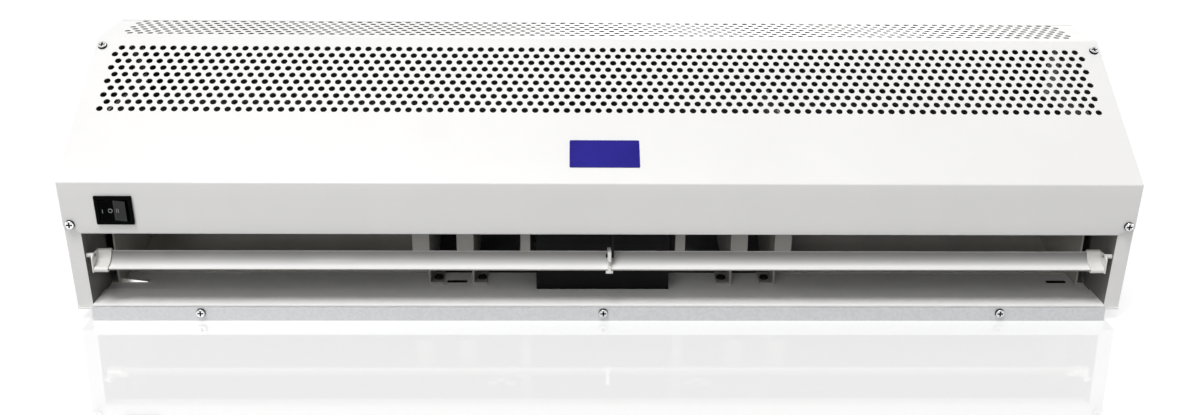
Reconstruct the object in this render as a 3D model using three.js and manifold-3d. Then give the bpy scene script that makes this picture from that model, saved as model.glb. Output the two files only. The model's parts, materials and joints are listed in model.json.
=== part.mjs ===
// A wall-mounted air curtain with a 900 mm sheet-metal body, lying on its wall plate as it does on a bench.
// Millimetres. +X runs along the length, -Y is the side that the air leaves, +Z points away from the wall.
// The origin is in the middle of the wall plate's outer face.

import * as THREE from "three";
import { mergeGeometries, mergeVertices } from "three/addons/utils/BufferGeometryUtils.js";
import Module from "manifold-3d";

const wasm = await Module();
wasm.setup();

// ---------------------------------------------------------------- driving dimensions

const LENGTH = 900; // overall, along X
const DEPTH = 215; // overall, front edge to back
const HEIGHT = 217; // overall, wall plate to inlet
const WALL_PLATE_HEIGHT = 10; // the wall plate lifts the body this far off the wall
const WALL_PLATE_LIP = 2.4; // its front flange stands this far over the body's lower edge
const TOP_DEPTH = 78; // flat inlet strip behind the top fold
const FRONT_EDGE_Z = 128; // the fold between the sloped face and the fascia
const FASCIA_DROP = 47;
const FASCIA_LEAN = THREE.MathUtils.degToRad(3.4); // the front leans back towards the wall plate
const REAR_RADIUS = 14; // rounded rear edge of the inlet strip
const REAR_SEAM_DROP = 30; // the cover comes down this far behind, and meets the back wall there
const REAR_LAP = 10; // the back wall's upper edge laps behind the cover this far
const SHEET = 1.2; // painted steel sheet
const PLATE = 1.6; // inner brackets and end plates
const GAP = 0.3; // clearance between pieces that meet

const SIDE_FLANGE = 13; // turned edge all round a side panel
const DUCT_CHEEK_DEPTH = 46; // the side panel's flange returns this far in beside the outlet
const HEM_DEPTH = 10; // the fascia's foot turns in this far
const COVER_CORNER = { width: 16, height: 6 }; // cut off the fascia's foot, under its screws
const WALL_PLATE_SHEET = 1.5;
const WALL_PLATE_END_INSET = 12.5; // from the body's ends
const WALL_PLATE_OVERHANG = 2.1; // how far it stands in front of the body's lower edge
const WALL_PLATE_REAR_INSET = 8;
const DROP_FLANGE_GAP = 1; // under the pan's flange that hangs in the wall plate

const HOLE_PITCH = 9.08; // staggered inlet holes, each row half a pitch from the next
const HOLE_DIAMETER = 5.6;
const HOLE_MARGIN = 13.6; // from the top fold to the nearest rows on both faces, and from the ends
const SLOPE_ROWS = 10;
const TOP_ROWS = 7;
const HOLE_COARSENESS = 3; // one modelled hole stands for this many, both ways
const HOLE_SIDES = 6;

const AXIS_SETBACK = 119.5; // fan and motor axis, from the front
const AXIS_Z = 112;
const SHAFT_RADIUS = 5;

const IMPELLER_RADIUS = 48;
const BLADE_DEPTH = 10;
const BLADE_THICKNESS = 1;
const BLADE_CAMBER = 2.4;
const BLADES = 18;
const IMPELLER_DISCS = 4;
const DISC_THICKNESS = 2;
const DISC_RIM = 14; // width of the rings between the blades' spans
const IMPELLER_END_GAP = 8; // between an impeller and its scroll's inner plate
const HUB_RADIUS = 13;
const HUB_LENGTH = 12;
const STUB_GAP = 1; // between the motor shaft and the stub shafts, inside the couplings

const SCROLL_OUTLET_GAP = 10; // between impeller and scroll where the spiral stops, over the fan
const SCROLL_SWEEP = THREE.MathUtils.degToRad(150);
const SCROLL_STEPS = 12;
const TONGUE_GAP = 8; // between impeller and tongue
const TONGUE_RADIUS = 8;
const TONGUE_TOP_DROP = 6; // from the axis down to the end of the curl
const TONGUE_HEM_INSET = 1; // from the fascia's inner face
const TONGUE_HEM_REACH = 2; // past the hem's rear edge

const PLATE_SETBACK = 52.5; // front edges of the inner plates, from the front
const PLATE_ROOF_GAP = 12; // and how far they stay under the cover
const BEARING_PLATE_X = 115;
const SCROLL_INNER_X = 154;
const SCROLL_END_BAY = 8; // between a scroll's outer plate and the duct's cheek
const FOOT_WIDTH = 12;
const FOOT_DEPTH = 24;
const FOOT_SCREW_INSET = 7.4; // from the plate
const FOOT_SCREW_SETBACK = 9.4; // from the foot's front edge
const FRONT_FLANGE_WIDTH = 14;
const FRONT_FLANGE_FOOT = 30; // above the outlet floor
const FRONT_FLANGE_DROP = 5; // of its top, from the fascia's foot
const SCROLL_PLATE_MARGIN = 4; // of a scroll's end plates round its spiral
const HUB_CLEARANCE = 3;
const BEARING_RADIUS = 14;
const BEARING_LENGTH = 12;
const BEARING_COLLAR = 4; // how far the collar stands out

const FLOOR_LIP_RISE = 0.6; // from the outlet floor's nose, over the wall plate, to its sill
const FLOOR_LIP_DEPTH = 3;
const FLOOR_SILL_SETBACK = 38.5; // rear edge of the sill, from the front
const FLOOR_STEP_DEPTH = 3; // of the slope from the sill down to the pan
const FLOOR_SETBACK = 78; // rear edge of the outlet floor, from the front
const FLOOR_SLOT = { length: 18, width: 3.2, setback: 5.7 };
const FLOOR_SLOT_X = 130;
const FLOOR_SLOT_END_INSET = 24;

const MOTOR_RADIUS = 44;
const MOTOR_HALF_LENGTH = 48;
const MOTOR_BELL = { shoulder: 12, crown: 8, corner: 3, step: 2, skirt: 14 }; // the end bells' form
const MOTOR_BOSS_RADIUS = 15;
const MOTOR_BOSS_START = 60;
const MOTOR_BOSS_END = 71;
const SHAFT_HALF_LENGTH = 96;
const RING_WALL = 5; // rubber ring round the motor boss
const RING_LENGTH = 9;
const CRADLE_EAR_THICKNESS = 2;
const CRADLE_EAR_WALL = 8; // round the rubber ring
const CRADLE_WIDTH = 60;
const CRADLE_FOOT = 12; // how far the base reaches out beyond the ears
const CRADLE_WING = { top: 106, foot: 32, flange: 8.5 }; // the ears come forward beside the guard
const COUPLING_WALL = 7;
const COUPLING_START = 82;
const COUPLING_LENGTH = 26;

const GUARD_HALF_WIDTH = 58.5; // dark plate in front of the motor
const GUARD_SETBACK = 41.7; // from the front
const GUARD_TOP_Z = 98;
const GUARD_FLANGE = 14;

const VANE_SETBACK = 9.8; // pivot of the outlet vane, from the front
const VANE_HEM_GAP = 1.8; // between the vane's hanger and the fascia's hem
const VANE_RADIUS = 13.5; // inner face of the blade, a trough that is open towards the front and the cover
const VANE_SWEEP = THREE.MathUtils.degToRad(80);
const VANE_THICKNESS = 1.6;
const VANE_CENTRE = [-5.3, 3.3]; // of the trough, from the pivot
const VANE_CAP_LENGTH = 13;
const VANE_CAP_WALL = 1.4; // round the blade, and at its end
const VANE_CAP_SHOULDER = 13; // from the end wall's lower and rear edges to its cut corner
const VANE_END_GAP = 5.5; // between cap and cheek
const VANE_PIN_RADIUS = 2;
const SADDLE_X = 4.7; // middle of the clip that holds the blade near its middle
const SADDLE_WIDTH = 3;
const SADDLE_WALL = 1.4;
const SADDLE_FOOT_WIDTH = 6; // under the blade's lip
const SADDLE_EAR = 4.2; // half height of the ear round the pin
const HANGER_THICKNESS = 2;
const HANGER_HEIGHT = 3.5;
const HANGER_PAD_WIDTH = 12;
const HANGER_PIN_RADIUS = 1.5;

const SWITCH_INSET = 44.5; // middle of the switch, from the left end
const SWITCH_Z = 103.3;
const SWITCH_BEZEL = { width: 31, height: 25.5, thickness: 2 };
const SWITCH_BODY = { width: 27.4, height: 21.6, depth: 24 };
const SWITCH_WELL_GAP = { width: 1, height: 0.8, depth: 4 }; // round the rocker and under it
const SWITCH_TERMINAL = { pitch: 8, thickness: 0.8, width: 6.4, length: 8 };
const ROCKER = { width: 23.6, height: 18.4, crown: 2, dip: -0.4, pivotDepth: 3.5, skirt: 6.5 };

const COVER_SCREW_INSET = 6; // from the ends
const COVER_SCREW_FROM_FOLD = 12;
const FASCIA_SCREW_RISE = 9; // above the fascia's foot
const RAIL_SCREW_INSET = 92.5; // from the wall plate's ends
const RAIL_SCREW_Z = 7.6;
const SCREW = { headRadius: 4, crownRadius: 2.9, headHeight: 2.4, shankRadius: 1.9, length: 8 };
const FOOT_SCREW_LENGTH = 3.2;
const SCREW_HOLE_RADIUS = 2.4;
const PUNCH_REACH = 7.2; // a punch cuts this far to both sides of the face that it starts from

const KEYHOLE = { inset: 137.5, y: 48, round: 5.5, slot: 2.75, slotLength: 12 };
const GROMMET = { x: 88, z: 60, hole: 8, flange: 11.5, bore: 5, flangeThickness: 2 };
const CAPACITOR = { x: -28, setback: 23.5, z: 34, radius: 19, length: 68 };
const CAPACITOR_TAB = { offset: 6, thickness: 0.8, width: 6, length: 8 };
const CAPACITOR_STRAP = { width: 14, thickness: 1 };
const TERMINAL_BLOCK = { x: 78, setback: 25.5, width: 46, depth: 18, height: 16 };
const TERMINAL_CHANNEL = { count: 4, wall: 1.2, depth: 7.2 };

// ---------------------------------------------------------------- places worked out from them

const FRONT_Y = -DEPTH / 2;
const BACK_Y = DEPTH / 2;
const END_X = LENGTH / 2;
const FASCIA_FOOT_Z = FRONT_EDGE_Z - FASCIA_DROP;
const frontY = (z) => FRONT_Y + (FRONT_EDGE_Z - z) * Math.tan(FASCIA_LEAN);

const TOP_FOLD = [BACK_Y - TOP_DEPTH, HEIGHT];
const FRONT_FOLD = [FRONT_Y, FRONT_EDGE_Z];
const SLOPE_ANGLE = Math.atan2(HEIGHT - FRONT_EDGE_Z, TOP_FOLD[0] - FRONT_Y);
const REAR_SEAM_Z = HEIGHT - REAR_SEAM_DROP;
const WRAP = SHEET + GAP; // how far an inner sheet lies below the one that wraps it
const INNER_END = END_X - SIDE_FLANGE; // inner edge of a side panel's flange
const LINER_END = INNER_END - GAP; // what fits between the side panels ends here

const WALL_PLATE_LENGTH = LENGTH - 2 * WALL_PLATE_END_INSET;
const WALL_LIP_Z = WALL_PLATE_HEIGHT + WALL_PLATE_LIP;
const WALL_FLANGE_Y = frontY(WALL_PLATE_HEIGHT) - WALL_PLATE_OVERHANG;

const PAN_TOP_Z = WALL_PLATE_HEIGHT + SHEET; // upper face of the chassis pan's floor
const PAN_STAND_Z = PAN_TOP_Z + GAP; // what stands on the pan
const FLOOR_NOSE_Z = WALL_LIP_Z + GAP + SHEET; // upper face of the outlet floor, over the wall plate
const FLOOR_SILL_Z = FLOOR_NOSE_Z + FLOOR_LIP_RISE;
const FLOOR_Z = PAN_STAND_Z + SHEET; // and where it lies on the pan
const FLOOR_SILL_Y = FRONT_Y + FLOOR_SILL_SETBACK;
const FLOOR_FRONT_Y = frontY(WALL_PLATE_HEIGHT) - SHEET;
const FLOOR_REAR_Y = FRONT_Y + FLOOR_SETBACK;
const FLOOR_STAND_Z = FLOOR_Z + GAP; // what stands on the outlet floor

const AXIS_Y = FRONT_Y + AXIS_SETBACK;
const BORE_RADIUS = SHAFT_RADIUS + GAP;
const PLATE_FRONT_Y = FRONT_Y + PLATE_SETBACK;
const SCROLL_OUTER_X = INNER_END - SCROLL_END_BAY;
const SCROLL_BOTTOM_RADIUS = AXIS_Z - FLOOR_Z - SHEET; // the spiral starts level with the outlet floor
const SCROLL_END_RADIUS = IMPELLER_RADIUS + SCROLL_OUTLET_GAP;
const IMPELLER_CORE = IMPELLER_RADIUS - 1 - BLADE_DEPTH; // inner edge of the blades
const IMPELLER_START = SCROLL_INNER_X + IMPELLER_END_GAP; // nearest end to the motor
const IMPELLER_END = SCROLL_OUTER_X - BEARING_LENGTH / 2 - IMPELLER_END_GAP / 2;
const OUTER_STUB_END = SCROLL_OUTER_X + BEARING_LENGTH / 2;

const RING_RADIUS = MOTOR_BOSS_RADIUS + GAP + RING_WALL;
const CRADLE_EAR_X = MOTOR_BOSS_START + GAP + RING_LENGTH / 2;
const GUARD_Y = FRONT_Y + GUARD_SETBACK;

const VANE_Y = FRONT_Y + VANE_SETBACK;
const HANGER_FOOT = VANE_RADIUS + 2 * VANE_THICKNESS; // over the pivot, clear of the blade at every tilt
const VANE_Z = FASCIA_FOOT_Z - VANE_HEM_GAP - HANGER_HEIGHT - HANGER_FOOT;
const VANE_CAP_OUTER = INNER_END - VANE_END_GAP;
const VANE_CAP_INNER = VANE_CAP_OUTER - VANE_CAP_LENGTH;
const VANE_HALF_LENGTH = VANE_CAP_OUTER - VANE_CAP_WALL - GAP;
const SWITCH_X = SWITCH_INSET - END_X;

// ---------------------------------------------------------------- geometry helpers

const X = new THREE.Vector3(1, 0, 0);
const Y = new THREE.Vector3(0, 1, 0);
const Z = new THREE.Vector3(0, 0, 1);
const ACROSS = new THREE.Matrix4().makeBasis(Y, Z, X); // an outline drawn in (y, z), pulled along X
const FACING = new THREE.Matrix4().makeBasis(X, Z, Y.clone().negate()); // drawn in (x, z), pulled along -Y

// The frame of the sloped face: x along the top fold, y down the slope, z into the body.
const ON_SLOPE = new THREE.Matrix4()
  .makeBasis(
    X,
    new THREE.Vector3(0, -Math.cos(SLOPE_ANGLE), -Math.sin(SLOPE_ANGLE)),
    new THREE.Vector3(0, Math.sin(SLOPE_ANGLE), -Math.cos(SLOPE_ANGLE)),
  )
  .setPosition(0, ...TOP_FOLD);
// The frame of the flat inlet strip: x along the top fold, y towards the back, z up.
const ON_TOP = new THREE.Matrix4().setPosition(0, ...TOP_FOLD);

// A geometry as a manifold-3d solid, which is what the joins and cuts work on.
function solid(geometry) {
  const loose = geometry.index ? geometry.toNonIndexed() : geometry;
  const bare = new THREE.BufferGeometry().setAttribute("position", loose.getAttribute("position"));
  const merged = mergeVertices(bare, 1e-4);
  return new wasm.Manifold(
    new wasm.Mesh({
      numProp: 3,
      vertProperties: merged.getAttribute("position").array,
      triVerts: new Uint32Array(merged.index.array),
    }),
  );
}

const join = (first, ...others) => others.reduce((made, next) => made.add(next), first);
const cut = (first, ...others) => others.reduce((made, next) => made.subtract(next), first);

function geometryOf(made) {
  const { vertProperties, triVerts } = made.getMesh();
  const geometry = new THREE.BufferGeometry()
    .setAttribute("position", new THREE.BufferAttribute(new Float32Array(vertProperties), 3))
    .setIndex(new THREE.BufferAttribute(new Uint32Array(triVerts), 1));
  geometry.computeVertexNormals();
  return geometry;
}

function outline(points) {
  return new THREE.Shape(points.map(([u, v]) => new THREE.Vector2(u, v)));
}

function circlePoints(radius, sides, u = 0, v = 0) {
  return Array.from({ length: sides }, (_, i) => {
    const angle = ((i + 0.5) / sides) * 2 * Math.PI;
    return [u + radius * Math.cos(angle), v + radius * Math.sin(angle)];
  });
}

// A hole that leaves a circle of `radius` clear.
function clearCircle(radius, u, v, sides = 12) {
  return circlePoints(radius / Math.cos(Math.PI / sides), sides, u, v);
}

// A flat outline, with round holes [radius, u, v], pulled from `from` to `to` and turned by `basis`.
function prism(points, from, to, basis = new THREE.Matrix4(), holes = []) {
  const shape = outline(points);
  for (const [radius, u, v] of holes) shape.holes.push(outline(clearCircle(radius, u, v)));
  const geometry = new THREE.ExtrudeGeometry(shape, { depth: Math.abs(to - from), bevelEnabled: false });
  return solid(geometry.translate(0, 0, Math.min(from, to)).applyMatrix4(basis));
}

function box(x0, x1, y0, y1, z0, z1) {
  const geometry = new THREE.BoxGeometry(Math.abs(x1 - x0), Math.abs(y1 - y0), Math.abs(z1 - z0));
  return solid(geometry.translate((x0 + x1) / 2, (y0 + y1) / 2, (z0 + z1) / 2));
}

// A round bar along X.
function bar(radius, x0, x1, y = 0, z = 0, sides = 12) {
  return prism(circlePoints(radius, sides, y, z), x0, x1, ACROSS);
}

// A profile of [radius, x] points that closes on itself, turned round the X axis.
function turned(profile, sides = 24) {
  const closed = [...profile, profile[0]].map(([r, x]) => new THREE.Vector2(r, x));
  return solid(new THREE.LatheGeometry(closed, sides).rotateZ(-Math.PI / 2));
}

// The same line moved to its left by `distance`, with mitred corners. A loop wraps round.
function offsetLine(points, distance, loop = false) {
  const normal = ([u0, v0], [u1, v1]) => {
    const length = Math.hypot(u1 - u0, v1 - v0);
    return [(v0 - v1) / length, (u1 - u0) / length];
  };
  const last = points.length - 1;
  return points.map((point, i) => {
    const before = i > 0 ? points[i - 1] : loop ? points[last] : null;
    const after = i < last ? points[i + 1] : loop ? points[0] : null;
    const [au, av] = normal(before ?? point, before ? point : after);
    const [bu, bv] = normal(after ? point : before, after ?? point);
    const scale = distance / (1 + au * bu + av * bv);
    return [point[0] + scale * (au + bu), point[1] + scale * (av + bv)];
  });
}

// A folded sheet: the line of its outer face in (y, z), thickened to the left and pulled along X.
function foldedSheet(line, thickness, x0, x1) {
  return prism([...line, ...offsetLine(line, thickness).reverse()], x0, x1, ACROSS);
}

function arc(centre, radius, from, to, steps) {
  return Array.from({ length: steps + 1 }, (_, i) => {
    const angle = from + ((to - from) * i) / steps;
    return [centre[0] + radius * Math.cos(angle), centre[1] + radius * Math.sin(angle)];
  });
}

// Staggered rows of holes in a sheet, as one set of prisms that stand across the z = 0 plane.
function holeField(rows) {
  const pitch = HOLE_PITCH * HOLE_COARSENESS;
  const rowStep = pitch * Math.sin(Math.PI / 3);
  const radius = (HOLE_DIAMETER * HOLE_COARSENESS) / 2;
  const rowCount = Math.floor(rows / HOLE_COARSENESS);
  const fullRow = Math.floor((LENGTH - 2 * HOLE_MARGIN) / pitch);
  const depth = (rows - 1) * HOLE_PITCH * Math.sin(Math.PI / 3);
  const first = HOLE_MARGIN + (depth - (rowCount - 1) * rowStep) / 2;
  const punches = [];
  for (let row = 0; row < rowCount; row++) {
    const inRow = fullRow - (row % 2);
    for (let i = 0; i < inRow; i++) {
      const punch = new THREE.CylinderGeometry(radius, radius, PUNCH_REACH, HOLE_SIDES).rotateX(Math.PI / 2);
      punches.push(punch.translate((i - (inRow - 1) / 2) * pitch, first + row * rowStep, 0));
    }
  }
  return mergeGeometries(punches);
}

const screwPunch = () =>
  new THREE.CylinderGeometry(SCREW_HOLE_RADIUS, SCREW_HOLE_RADIUS, 2 * PUNCH_REACH, 8).rotateX(Math.PI / 2);

// ---------------------------------------------------------------- finishes

function finish(color, roughness, metalness) {
  return new THREE.MeshStandardMaterial({ color, roughness, metalness });
}

const WHITE_PAINT = finish(0xf1f0ee, 0.4, 0.1);
const DUCT_PAINT = finish(0xd9d6d0, 0.5, 0.1);
const GALVANISED = finish(0xc3c8cd, 0.45, 0.8);
const BLACK_PAINT = finish(0x1d1d1f, 0.6, 0.2);
const BLACK_PLASTIC = finish(0x101012, 0.35, 0);
const WHITE_PLASTIC = finish(0xeceae4, 0.4, 0);
const BRIGHT_STEEL = finish(0xb9bbbd, 0.3, 0.9);
const ALUMINIUM = finish(0xb4b6b8, 0.4, 0.8);
const RUBBER = finish(0x26262a, 0.8, 0);

function part(name, made, material) {
  const mesh = new THREE.Mesh(made.isBufferGeometry ? made : geometryOf(made), material);
  mesh.name = name;
  return mesh;
}

const sideName = (side) => (side < 0 ? "left" : "right");

// ---------------------------------------------------------------- casing

// The body's section, anticlockwise in (y, z), moved inwards by `inset`.
function bodySection(inset) {
  const rearCentre = [BACK_Y - REAR_RADIUS, HEIGHT - REAR_RADIUS];
  const outer = [
    [frontY(WALL_PLATE_HEIGHT), WALL_PLATE_HEIGHT],
    [BACK_Y, WALL_PLATE_HEIGHT],
    ...arc(rearCentre, REAR_RADIUS, 0, Math.PI / 2, 4),
    TOP_FOLD,
    FRONT_FOLD,
  ];
  return offsetLine(outer, inset, true);
}

// A tray: the side of the body with a turned edge all round, which the other sheets wrap over.
function sidePanel(side) {
  const plate = prism(bodySection(WRAP), side * END_X, side * (END_X - SHEET), ACROSS);
  const rim = cut(
    prism(bodySection(WRAP), side * END_X, side * INNER_END, ACROSS),
    prism(bodySection(WRAP + SHEET), side * (END_X + 1), side * (INNER_END - 1), ACROSS),
  );
  const cheekFoot = PAN_STAND_Z;
  const cheekTop = FASCIA_FOOT_Z + HEM_DEPTH;
  const front = (z) => frontY(z) + WRAP;
  const cheekOutline = [
    [front(cheekFoot), cheekFoot],
    [front(cheekFoot) + DUCT_CHEEK_DEPTH, cheekFoot],
    [front(cheekFoot) + DUCT_CHEEK_DEPTH, cheekTop],
    [front(cheekTop), cheekTop],
  ];
  const pivotHole = [VANE_PIN_RADIUS + GAP, VANE_Y, VANE_Z];
  const cheek = prism(cheekOutline, side * INNER_END, side * (INNER_END + SHEET), ACROSS, [pivotHole]);
  const screwHoles = coverScrewPlaces()
    .filter(({ x }) => Math.sign(x) === side)
    .map(({ matrix }) => solid(screwPunch().applyMatrix4(matrix)));
  return cut(join(plate, rim, cheek), ...screwHoles);
}

// The four screws that hold the front cover, each as the frame of its seat: z points out of the sheet.
function coverScrewPlaces() {
  const out = new THREE.Matrix4().makeRotationX(Math.PI);
  const fasciaScrewZ = FASCIA_FOOT_Z + FASCIA_SCREW_RISE;
  return [-1, 1].flatMap((side) => {
    const x = side * (END_X - COVER_SCREW_INSET);
    const slope = ON_SLOPE.clone().multiply(
      new THREE.Matrix4().makeTranslation(x, COVER_SCREW_FROM_FOLD, 0).multiply(out),
    );
    const fascia = new THREE.Matrix4()
      .makeRotationX(Math.PI / 2 + FASCIA_LEAN)
      .setPosition(x, frontY(fasciaScrewZ), fasciaScrewZ);
    return [
      { name: `cover_screw_upper_${sideName(side)}`, x, matrix: slope },
      { name: `cover_screw_lower_${sideName(side)}`, x, matrix: fascia },
    ];
  });
}

// The perforated cover, folded from one sheet: a rounded rear edge, the flat inlet strip, the sloped
// inlet face and the fascia, with a hem under it.
function frontCover() {
  const fasciaFoot = [frontY(FASCIA_FOOT_Z), FASCIA_FOOT_Z];
  const rearEdge = arc([BACK_Y - REAR_RADIUS, HEIGHT - REAR_RADIUS], REAR_RADIUS, 0, Math.PI / 2, 5);
  const line = [[BACK_Y, REAR_SEAM_Z], ...rearEdge, TOP_FOLD, FRONT_FOLD, fasciaFoot];
  const sheet = foldedSheet(line, SHEET, -END_X, END_X);
  const [y, z] = fasciaFoot;
  const hem = box(-LINER_END, LINER_END, y, y + HEM_DEPTH, z, z + SHEET);
  const inlets = [
    holeField(SLOPE_ROWS).applyMatrix4(ON_SLOPE),
    holeField(TOP_ROWS).applyMatrix4(ON_TOP),
  ].map(solid);
  const screwHoles = coverScrewPlaces().map(({ matrix }) => solid(screwPunch().applyMatrix4(matrix)));
  const { width, height } = SWITCH_BODY;
  const window = new THREE.BoxGeometry(width + 2 * GAP, height + 2 * GAP, 2 * PUNCH_REACH);
  const windowPunch = solid(window.applyMatrix4(switchSeat()));
  return cut(join(sheet, hem), ...inlets, windowPunch, ...coverCorners(), ...screwHoles);
}

// What is cut off the fascia's foot at both ends, where the side panels' flanges show under the screws.
function coverCorners() {
  const { width, height } = COVER_CORNER;
  return [-1, 1].map((side) => {
    const corner = [
      [side * (END_X - width), FASCIA_FOOT_Z - PUNCH_REACH],
      [side * (END_X + PUNCH_REACH), FASCIA_FOOT_Z - PUNCH_REACH],
      [side * (END_X + PUNCH_REACH), FASCIA_FOOT_Z + height],
      [side * END_X, FASCIA_FOOT_Z + height],
      [side * (END_X - width), FASCIA_FOOT_Z],
    ];
    return prism(corner, -FRONT_Y - PUNCH_REACH, -FRONT_Y + PUNCH_REACH, FACING);
  });
}

// The frame of the switch's seat on the fascia: x along the length, y up the fascia, z out of it.
function switchSeat() {
  return new THREE.Matrix4()
    .makeRotationX(Math.PI / 2 + FASCIA_LEAN)
    .setPosition(SWITCH_X, frontY(SWITCH_Z), SWITCH_Z);
}

// Floor and back wall of the body, with a lap behind the cover's rear edge and a front flange that
// drops behind the wall plate's.
function chassisPan() {
  const front = frontY(WALL_PLATE_HEIGHT);
  const line = [
    [front, WALL_PLATE_HEIGHT],
    [BACK_Y, WALL_PLATE_HEIGHT],
    [BACK_Y, REAR_SEAM_Z - GAP],
  ];
  const floorAndBack = foldedSheet(line, SHEET, -END_X, END_X);
  const lapFoot = REAR_SEAM_Z - REAR_LAP;
  const lapBack = BACK_Y - WRAP - SHEET;
  const lap = join(
    box(-LINER_END, LINER_END, lapBack, BACK_Y - WRAP, lapFoot, REAR_SEAM_Z + REAR_LAP),
    box(-LINER_END, LINER_END, lapBack, BACK_Y - SHEET / 2, lapFoot, REAR_SEAM_Z - GAP),
  );
  const flangeFront = WALL_FLANGE_Y + WALL_PLATE_SHEET + GAP;
  const halfLength = WALL_PLATE_LENGTH / 2 - WALL_PLATE_SHEET - GAP;
  const dropFoot = WALL_PLATE_SHEET + DROP_FLANGE_GAP;
  const drop = box(-halfLength, halfLength, flangeFront, flangeFront + SHEET, dropFoot, PAN_TOP_Z);
  const bridge = box(-halfLength, halfLength, flangeFront, front + SHEET, WALL_PLATE_HEIGHT, PAN_TOP_Z);
  const cableCircle = clearCircle(GROMMET.hole + GAP, GROMMET.x, GROMMET.z);
  const cableHole = prism(cableCircle, -BACK_Y - SHEET, -BACK_Y + 2 * SHEET, FACING);
  const screwHoles = railScrewPlaces().map((place) => solid(screwPunch().applyMatrix4(place.matrix)));
  return cut(join(floorAndBack, lap, drop, bridge), cableHole, ...screwHoles);
}

function railScrewPlaces() {
  return [-1, 0, 1].map((step) => ({
    name: `wall_plate_screw_${["left", "middle", "right"][step + 1]}`,
    matrix: new THREE.Matrix4()
      .makeRotationX(Math.PI / 2)
      .setPosition(step * (WALL_PLATE_LENGTH / 2 - RAIL_SCREW_INSET), WALL_FLANGE_Y, RAIL_SCREW_Z),
  }));
}

// A shallow channel that is screwed to the wall; the body hangs on it and three screws lock it.
function wallPlate() {
  const rear = BACK_Y - WALL_PLATE_REAR_INSET;
  const line = [
    [WALL_FLANGE_Y, WALL_LIP_Z],
    [WALL_FLANGE_Y, 0],
    [rear, 0],
    [rear, WALL_PLATE_HEIGHT - GAP],
  ];
  const half = WALL_PLATE_LENGTH / 2;
  const channel = foldedSheet(line, WALL_PLATE_SHEET, -half, half);
  const { inset, y, round, slot, slotLength } = KEYHOLE;
  const x = half - inset;
  const keyholes = [-x, x].flatMap((u) =>
    [-y, y].map((v) =>
      join(
        prism(circlePoints(round, 8, u, v), -PUNCH_REACH, PUNCH_REACH),
        box(u - slot, u + slot, v, v + slotLength, -PUNCH_REACH, PUNCH_REACH),
      ),
    ),
  );
  const screwHoles = railScrewPlaces().map((place) => solid(screwPunch().applyMatrix4(place.matrix)));
  return cut(channel, ...keyholes, ...screwHoles);
}

// ---------------------------------------------------------------- air path

// The lower wall of the outlet: a nose over the wall plate, a raised sill, and a slotted floor on the pan.
function outletFloor() {
  const line = [
    [FLOOR_REAR_Y, FLOOR_Z],
    [FLOOR_SILL_Y + FLOOR_STEP_DEPTH, FLOOR_Z],
    [FLOOR_SILL_Y, FLOOR_SILL_Z],
    [FLOOR_FRONT_Y + FLOOR_LIP_DEPTH, FLOOR_SILL_Z],
    [FLOOR_FRONT_Y, FLOOR_NOSE_Z],
  ];
  const sheet = foldedSheet(line, SHEET, -LINER_END, LINER_END);
  const { length, width, setback } = FLOOR_SLOT;
  const endSlotX = LINER_END - FLOOR_SLOT_END_INSET;
  const slotY = PLATE_FRONT_Y + setback;
  const slots = [-endSlotX, -FLOOR_SLOT_X, endSlotX].map((x) =>
    box(x - length / 2, x + length / 2, slotY - width / 2, slotY + width / 2, PAN_TOP_Z, FLOOR_SILL_Z),
  );
  const screwHoles = plateFeet().map(({ x, y }) => solid(screwPunch().translate(x, y, FLOOR_Z)));
  return cut(sheet, ...slots, ...screwHoles);
}

// The spiral wall behind and below one impeller, from the outlet floor up over the back of the fan.
function scroll(side) {
  const spiral = Array.from({ length: SCROLL_STEPS + 1 }, (_, i) => {
    const swept = (SCROLL_SWEEP * i) / SCROLL_STEPS;
    const radius = scrollRadius(swept);
    return [AXIS_Y + radius * Math.sin(swept), AXIS_Z - radius * Math.cos(swept)];
  });
  const line = [[FLOOR_REAR_Y + GAP, spiral[0][1]], ...spiral];
  return foldedSheet(line, -SHEET, ...scrollSpan(side));
}

function scrollSpan(side) {
  const clear = PLATE / 2 + GAP;
  return [side * (SCROLL_INNER_X + clear), side * (SCROLL_OUTER_X - clear)];
}

// The upper wall of the outlet, which curls up in front of the impeller.
function tongue(side) {
  const curlY = AXIS_Y - IMPELLER_RADIUS - TONGUE_GAP - TONGUE_RADIUS;
  const overHem = FASCIA_FOOT_Z + SHEET + GAP;
  const line = [
    [frontY(FASCIA_FOOT_Z) + SHEET + TONGUE_HEM_INSET, overHem],
    [frontY(FASCIA_FOOT_Z) + HEM_DEPTH + TONGUE_HEM_REACH, overHem],
    ...arc([curlY, AXIS_Z - TONGUE_TOP_DROP - TONGUE_RADIUS], TONGUE_RADIUS, -Math.PI / 2, Math.PI / 2, 5),
  ];
  return foldedSheet(line, SHEET, ...scrollSpan(side));
}

// ---------------------------------------------------------------- inner plates and bearings

// The screws that hold the inner plates' feet to the outlet floor.
function plateFeet() {
  const y = PLATE_FRONT_Y + FOOT_SCREW_SETBACK;
  return [-1, 1].flatMap((side) => [
    { name: `bearing_foot_screw_${sideName(side)}`, x: side * (BEARING_PLATE_X - FOOT_SCREW_INSET), y },
    { name: `scroll_foot_screw_${sideName(side)}`, x: side * (SCROLL_INNER_X - FOOT_SCREW_INSET), y },
  ]);
}

function footBox(x0, x1) {
  const rear = PLATE_FRONT_Y + FOOT_DEPTH;
  return box(x0, x1, PLATE_FRONT_Y, rear, FLOOR_STAND_Z, FLOOR_STAND_Z + PLATE);
}

function footOf(side, plateX) {
  const foot = footBox(side * (plateX - FOOT_WIDTH), side * plateX);
  const screwX = side * (plateX - FOOT_SCREW_INSET);
  return cut(foot, solid(screwPunch().translate(screwX, PLATE_FRONT_Y + FOOT_SCREW_SETBACK, FLOOR_STAND_Z)));
}

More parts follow.
